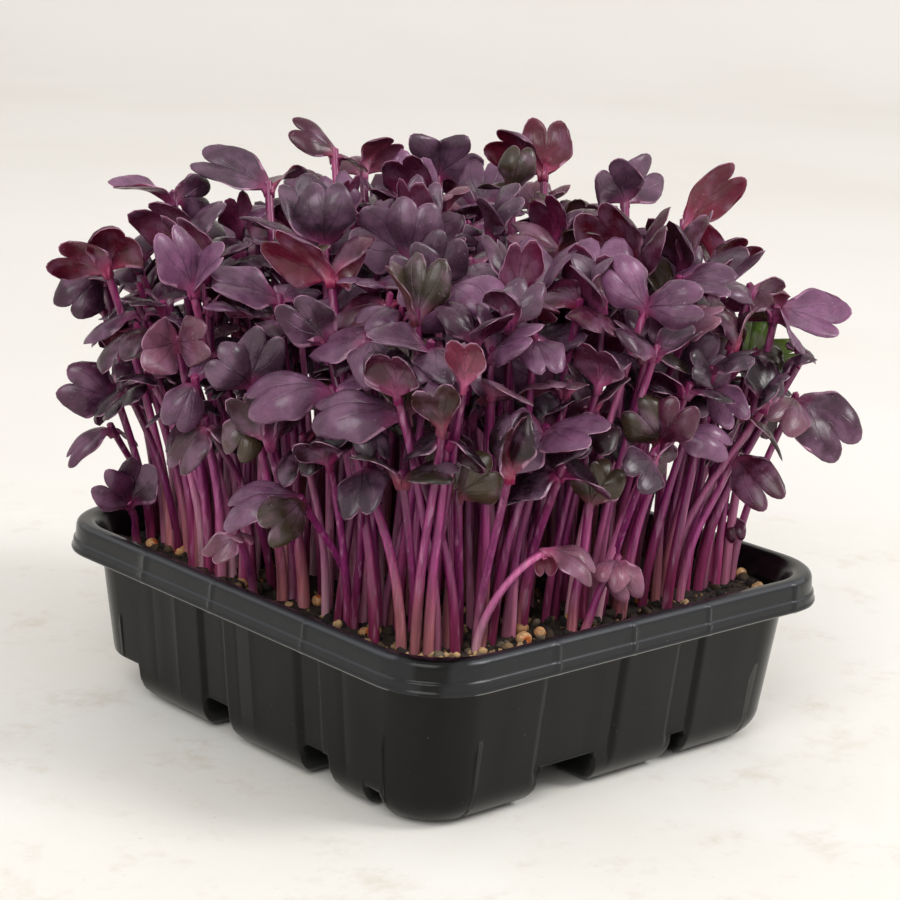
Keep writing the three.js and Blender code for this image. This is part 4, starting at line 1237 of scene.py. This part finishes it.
# ---------------------------------------------------------------- the plants between
FILLERS = 340                  # the most there may be: fewer stand once the tries are used up
FILLERS_ON_TOP = 150           # the first of them, which reach the canopy's upper surface
FILLER_COLOURS = ["purple", "slate", "lilac", "wine", "purple", "mauve", "slate", "purple", "lilac", "purple",
                  "lilac", "olive"]
RISES = [(42, 12), (8, 12), (-24, 10)]   # upright, level and drooping pairs of leaves: mean and spread
FOOT_RANGE = ((-43, -43), (48, 52))      # where their stems stand, a little clear of the two front rows
LOWEST_CROWN = 70
SHADED_BELOW = 76              # height under which the plants between get the most painted shade
SHADE_DEPTH = 24               # and how much higher they are free of painted shade
STAND_CENTRE = (2, 5)
STAND_RADIUS = 80              # the plants between the named ones keep within this circle
TRIES = 70                     # for each of those that there may be
CELL = 0.7                     # edge of the small cubes that record which room is taken
# The share of a stem's, a leaf's and a whole plant's points that may lie in taken cubes.
STEM_OVERLAP = 0.08
LEAF_OVERLAP = 0.06
PLANT_OVERLAP = 0.025
# Places over a flat leaf, along and across, at which a plant is tried before it is built.
ROUGH_PLACES = [(along, across) for along in (0.4, 0.6, 0.8, 1) for across in (-0.5, -0.25, 0, 0.25, 0.5)]


class Room:
    """The room round the solids, cut into small cubes that are free or taken."""

    def __init__(self, low, high):
        self.low, self.high = low, high
        self.taken = np.zeros(np.ceil((high - low) / CELL).astype(int) + 3, bool)

    def cells(self, points):
        """The cube that each point lies in."""
        return np.floor((points - self.low) / CELL).astype(int) + 1

    def fill(self, points):
        """Takes the cube round each point, and the cubes that share a face with it."""
        cells = self.cells(points)
        for shift in np.vstack([np.zeros((1, 3), int), np.eye(3, dtype=int), -np.eye(3, dtype=int)]):
            x, y, z = np.clip(cells + shift, 0, np.array(self.taken.shape) - 1).T
            self.taken[x, y, z] = True

    def holds(self, points):
        """True if all the points lie within the room, a little clear of its sides."""
        return bool((points > self.low + 0.5).all() and (points < self.high - 0.5).all())

    def is_free(self, points, share):
        """True if no more than a share of the points lies in taken cubes."""
        x, y, z = self.cells(points).T
        return self.taken[x, y, z].mean() <= share


def canopy_height(x, y):
    """Height of the canopy's upper surface over a place."""
    from_edge = max(abs(x) / 62, abs(y) / 66)
    back = (x + y) / 130
    return 108.5 + 9 * back - 24 * from_edge ** 4


def filler_row(rng, on_top):
    """A plant at a random place, leaning outwards as the plants at the edge do."""
    foot = rng.uniform(*FOOT_RANGE)
    if not on_top and rng.random() < 0.5:
        side = rng.integers(2)
        foot[side] = FOOT_RANGE[rng.integers(2)][side] * rng.uniform(0.86, 1)
    crown_xy = foot * rng.uniform(1.04, 1.24) + rng.normal(0, 5, 2)
    below = abs(rng.normal(0, 5)) if on_top else rng.uniform(4, 26)
    height = max(canopy_height(*crown_xy) - below - 2, LOWEST_CROWN)
    blade = rng.uniform(10.5, 16) * np.array([1, rng.uniform(0.74, 0.9)])
    heading, rise = rng.uniform(-180, 180), rng.normal(*RISES[rng.integers(len(RISES))])
    leaves = []
    for turn in (0, 180):
        leaves.append([heading + turn + rng.normal(0, 22), rise + rng.normal(0, 12), rng.normal(0, 28),
                       rng.uniform(0.82, 1)])
    colour = FILLER_COLOURS[rng.integers(len(FILLER_COLOURS))]
    return (colour, foot.tolist(), [*crown_xy, height], blade.tolist(), *leaves)


def rough_points(row):
    """Points along a plant's stem and spread over its two leaves, as if they were flat."""
    stem, _ = stem_points(row[1], row[2], 0, 40)
    leaves = []
    for *pose, share in row[4:]:
        chord, side, _ = leaf_axes(pose)
        length, width = np.array(row[3]) * share
        leaves += [row[2] + chord * along * length + side * across * width for along, across in ROUGH_PLACES]
    return stem[stem[:, 2] > SOIL_TOP + 1], np.array(leaves)


def fits_roughly(room, row):
    """True if a plant's stem and flat leaves would lie mostly in free cubes, within the stand."""
    stem, leaves = rough_points(row)
    reach = np.linalg.norm(leaves[:, :2] - STAND_CENTRE, axis=1).max()
    inside = room.holds(stem) and room.holds(leaves) and reach < STAND_RADIUS
    return inside and room.is_free(stem, STEM_OVERLAP) and room.is_free(leaves, LEAF_OVERLAP)


def filler_plants(room):
    """Plants between the named ones, each kept if few of its points lie in taken cubes. A stem takes only
    the cubes at its rings, which lie further apart than a cube, so stems may pass through each other."""
    rng = np.random.default_rng(FILLER_SEED)
    surfaces = {}
    placed = 0
    for _ in range(FILLERS * TRIES):
        if placed == FILLERS:
            break
        row = filler_row(rng, placed < FILLERS_ON_TOP)
        if not fits_roughly(room, row):
            continue
        trial = Surface()
        # Painted shade: the lower a plant's crown, the darker its colours are painted.
        painted_shade_factor = 0.55 + 0.45 * float(smooth((row[2][2] - SHADED_BELOW) / SHADE_DEPTH))
        points = add_seedling(trial, row, rng, detail=LESS_DETAIL, painted_shade_factor=painted_shade_factor)
        above = points[points[:, 2] > SOIL_TOP + 1]
        if room.holds(points) and room.is_free(above, PLANT_OVERLAP):
            surfaces.setdefault(row[0], Surface()).join(trial)
            room.fill(above)
            placed += 1
    return surfaces


# ---------------------------------------------------------------- stage, in metres
def add_camera():
    """The camera stands beyond the tray's near corner, a little above it and slightly tilted."""
    yaw, pitch, tilt = (math.radians(CAMERA[angle]) for angle in ("yaw", "pitch", "tilt"))
    ahead = np.array([math.sin(yaw) * math.cos(pitch), math.cos(yaw) * math.cos(pitch), -math.sin(pitch)])
    right = np.array([math.cos(yaw), -math.sin(yaw), 0])
    up = np.cross(right, ahead)
    tilted_right = right * math.cos(tilt) + up * math.sin(tilt)
    tilted_up = up * math.cos(tilt) - right * math.sin(tilt)
    data = bpy.data.cameras.new("camera")
    data.lens = CAMERA["lens"]
    data.sensor_width = 36
    data.clip_start = 0.01
    camera = bpy.data.objects.new("camera", data)
    turn = Matrix(np.column_stack([tilted_right, tilted_up, -ahead]).tolist()).to_4x4()
    camera.matrix_world = Matrix.Translation(CAMERA["place"]) @ turn
    bpy.context.scene.collection.objects.link(camera)
    bpy.context.scene.camera = camera


def add_light(name, place, target, size, power, colour):
    """A square lamp that faces a target."""
    data = bpy.data.lights.new(name, "AREA")
    data.size = size
    data.energy = power
    data.color = colour
    light = bpy.data.objects.new(name, data)
    direction = Vector(target) - Vector(place)
    light.rotation_mode = "QUATERNION"
    light.rotation_quaternion = direction.to_track_quat("-Z", "Y")
    light.location = place
    bpy.context.scene.collection.objects.link(light)


def add_floor():
    """A pale table that curves up into a pale wall behind."""
    radius = BACKDROP["radius"]
    profile = [(-BACKDROP["near"], 0)]
    for turn in np.linspace(0, np.pi / 2, 17):
        profile.append((BACKDROP["bend"] + radius * math.sin(turn), radius * (1 - math.cos(turn))))
    profile.append((BACKDROP["bend"] + radius, BACKDROP["height"]))
    ahead = np.array(AHEAD[:2])
    right = np.array([AHEAD[1], -AHEAD[0]])
    points = []
    for distance, height in profile:
        for side in (-BACKDROP["reach"], BACKDROP["reach"]):
            points.append((*(ahead * distance + right * side) / MM, height / MM))
    surface = Surface()
    surface.add(points, grid_faces(len(profile), 2)[:, ::-1], linear(FLOOR_COLOURS[0]))
    surface.build("floor", [floor_material()])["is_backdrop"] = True


def add_world():
    """Soft light from all round; seen directly or as a reflection it is the pale colour of a wall."""
    world = bpy.data.worlds.new("studio")
    bpy.context.scene.world = world
    world.use_nodes = True
    tree = world.node_tree
    lighting = tree.nodes["Background"]
    lighting.inputs["Color"].default_value = WORLD_COLOUR
    lighting.inputs["Strength"].default_value = WORLD_STRENGTH
    seen = tree.nodes.new("ShaderNodeBackground")
    seen.inputs["Color"].default_value = rgba(WALL_COLOUR)
    rays = tree.nodes.new("ShaderNodeLightPath")
    shows = rays.outputs["Is Camera Ray"]
    for output in ("Is Glossy Ray", "Is Transmission Ray"):
        either = tree.nodes.new("ShaderNodeMath")
        either.operation = "MAXIMUM"
        tree.links.new(shows, either.inputs[0])
        tree.links.new(rays.outputs[output], either.inputs[1])
        shows = either.outputs[0]
    mix = tree.nodes.new("ShaderNodeMixShader")
    tree.links.new(shows, mix.inputs[0])
    tree.links.new(lighting.outputs[0], mix.inputs[1])
    tree.links.new(seen.outputs[0], mix.inputs[2])
    tree.links.new(mix.outputs[0], tree.nodes["World Output"].inputs[0])


# ---------------------------------------------------------------- making everything
def keep(piece, node=None):
    """Fixes a piece to the object's body, and hides the solid that it stands for, if one is given."""
    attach(piece, "root")
    if node:
        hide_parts(node)


add_camera()
add_world()
add_floor()
for name, (place, size, power, colour) in LAMPS.items():
    add_light(name, place, LAMP_TARGET, size, power, colour)

keep(tray_piece(), "tray")
keep(mix_piece(), "growing_medium")

skins = [leaf_material(), stem_material()]
room = Room(*(np.array(corner) / MM for corner in cad_box))
for region, rows in SEEDLINGS.items():
    for number, row in enumerate(rows, 1):
        rng = np.random.default_rng([len(region), ord(region[0]), number])
        surface = Surface()
        label = f"{region}_{number}"
        forms = FORMS.get(label, ({}, {}))
        room.fill(add_seedling(surface, row, rng, SECOND_LEAVES.get(label), forms=forms))
        plant = surface.build(f"seedling_{label}_plant", skins)
        keep(plant, f"seedling_{label}" if region != "between" else None)

for colour, surface in filler_plants(room).items():
    keep(surface.build(f"seedlings_between_{colour}", skins))

rng = np.random.default_rng(LOOSE_SEED)
crumb_material = grain_material("mix_crumb", 0.92, 1500)
grit_material = grain_material("mix_grit", 0.8, 900)
hull_places = HULL_PLACES + [scatter_place(rng) for _ in range(MORE_HULLS)]
loose = [
    lumps("mix_crumbs", 850, (0.45, 1.3), (0.6, 1), 0.16, CRUMB_COLOURS, ball(2), crumb_material, rng),
    lumps("mix_dust", 1500, (0.2, 0.5), (0.6, 1), 0.14, CRUMB_COLOURS + GRIT_COLOURS[:2], ball(1),
          crumb_material, rng),
    lumps("mix_grit", 150, (0.5, 1.5), (0.45, 0.9), 0.1, GRIT_COLOURS, ball(2), grit_material, rng),
    lumps("mix_grit_in_corner", 110, (0.35, 1.2), (0.45, 0.9), 0.12, GRIT_COLOURS, ball(2), grit_material,
          rng, place=corner_place),
    hulls("seed_hulls", hull_places, rng),
]
for piece in loose:
    keep(piece)

scene = bpy.context.scene
scene.view_settings.view_transform = "Standard"
size = {"cad": cad_box, "scene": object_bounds()}
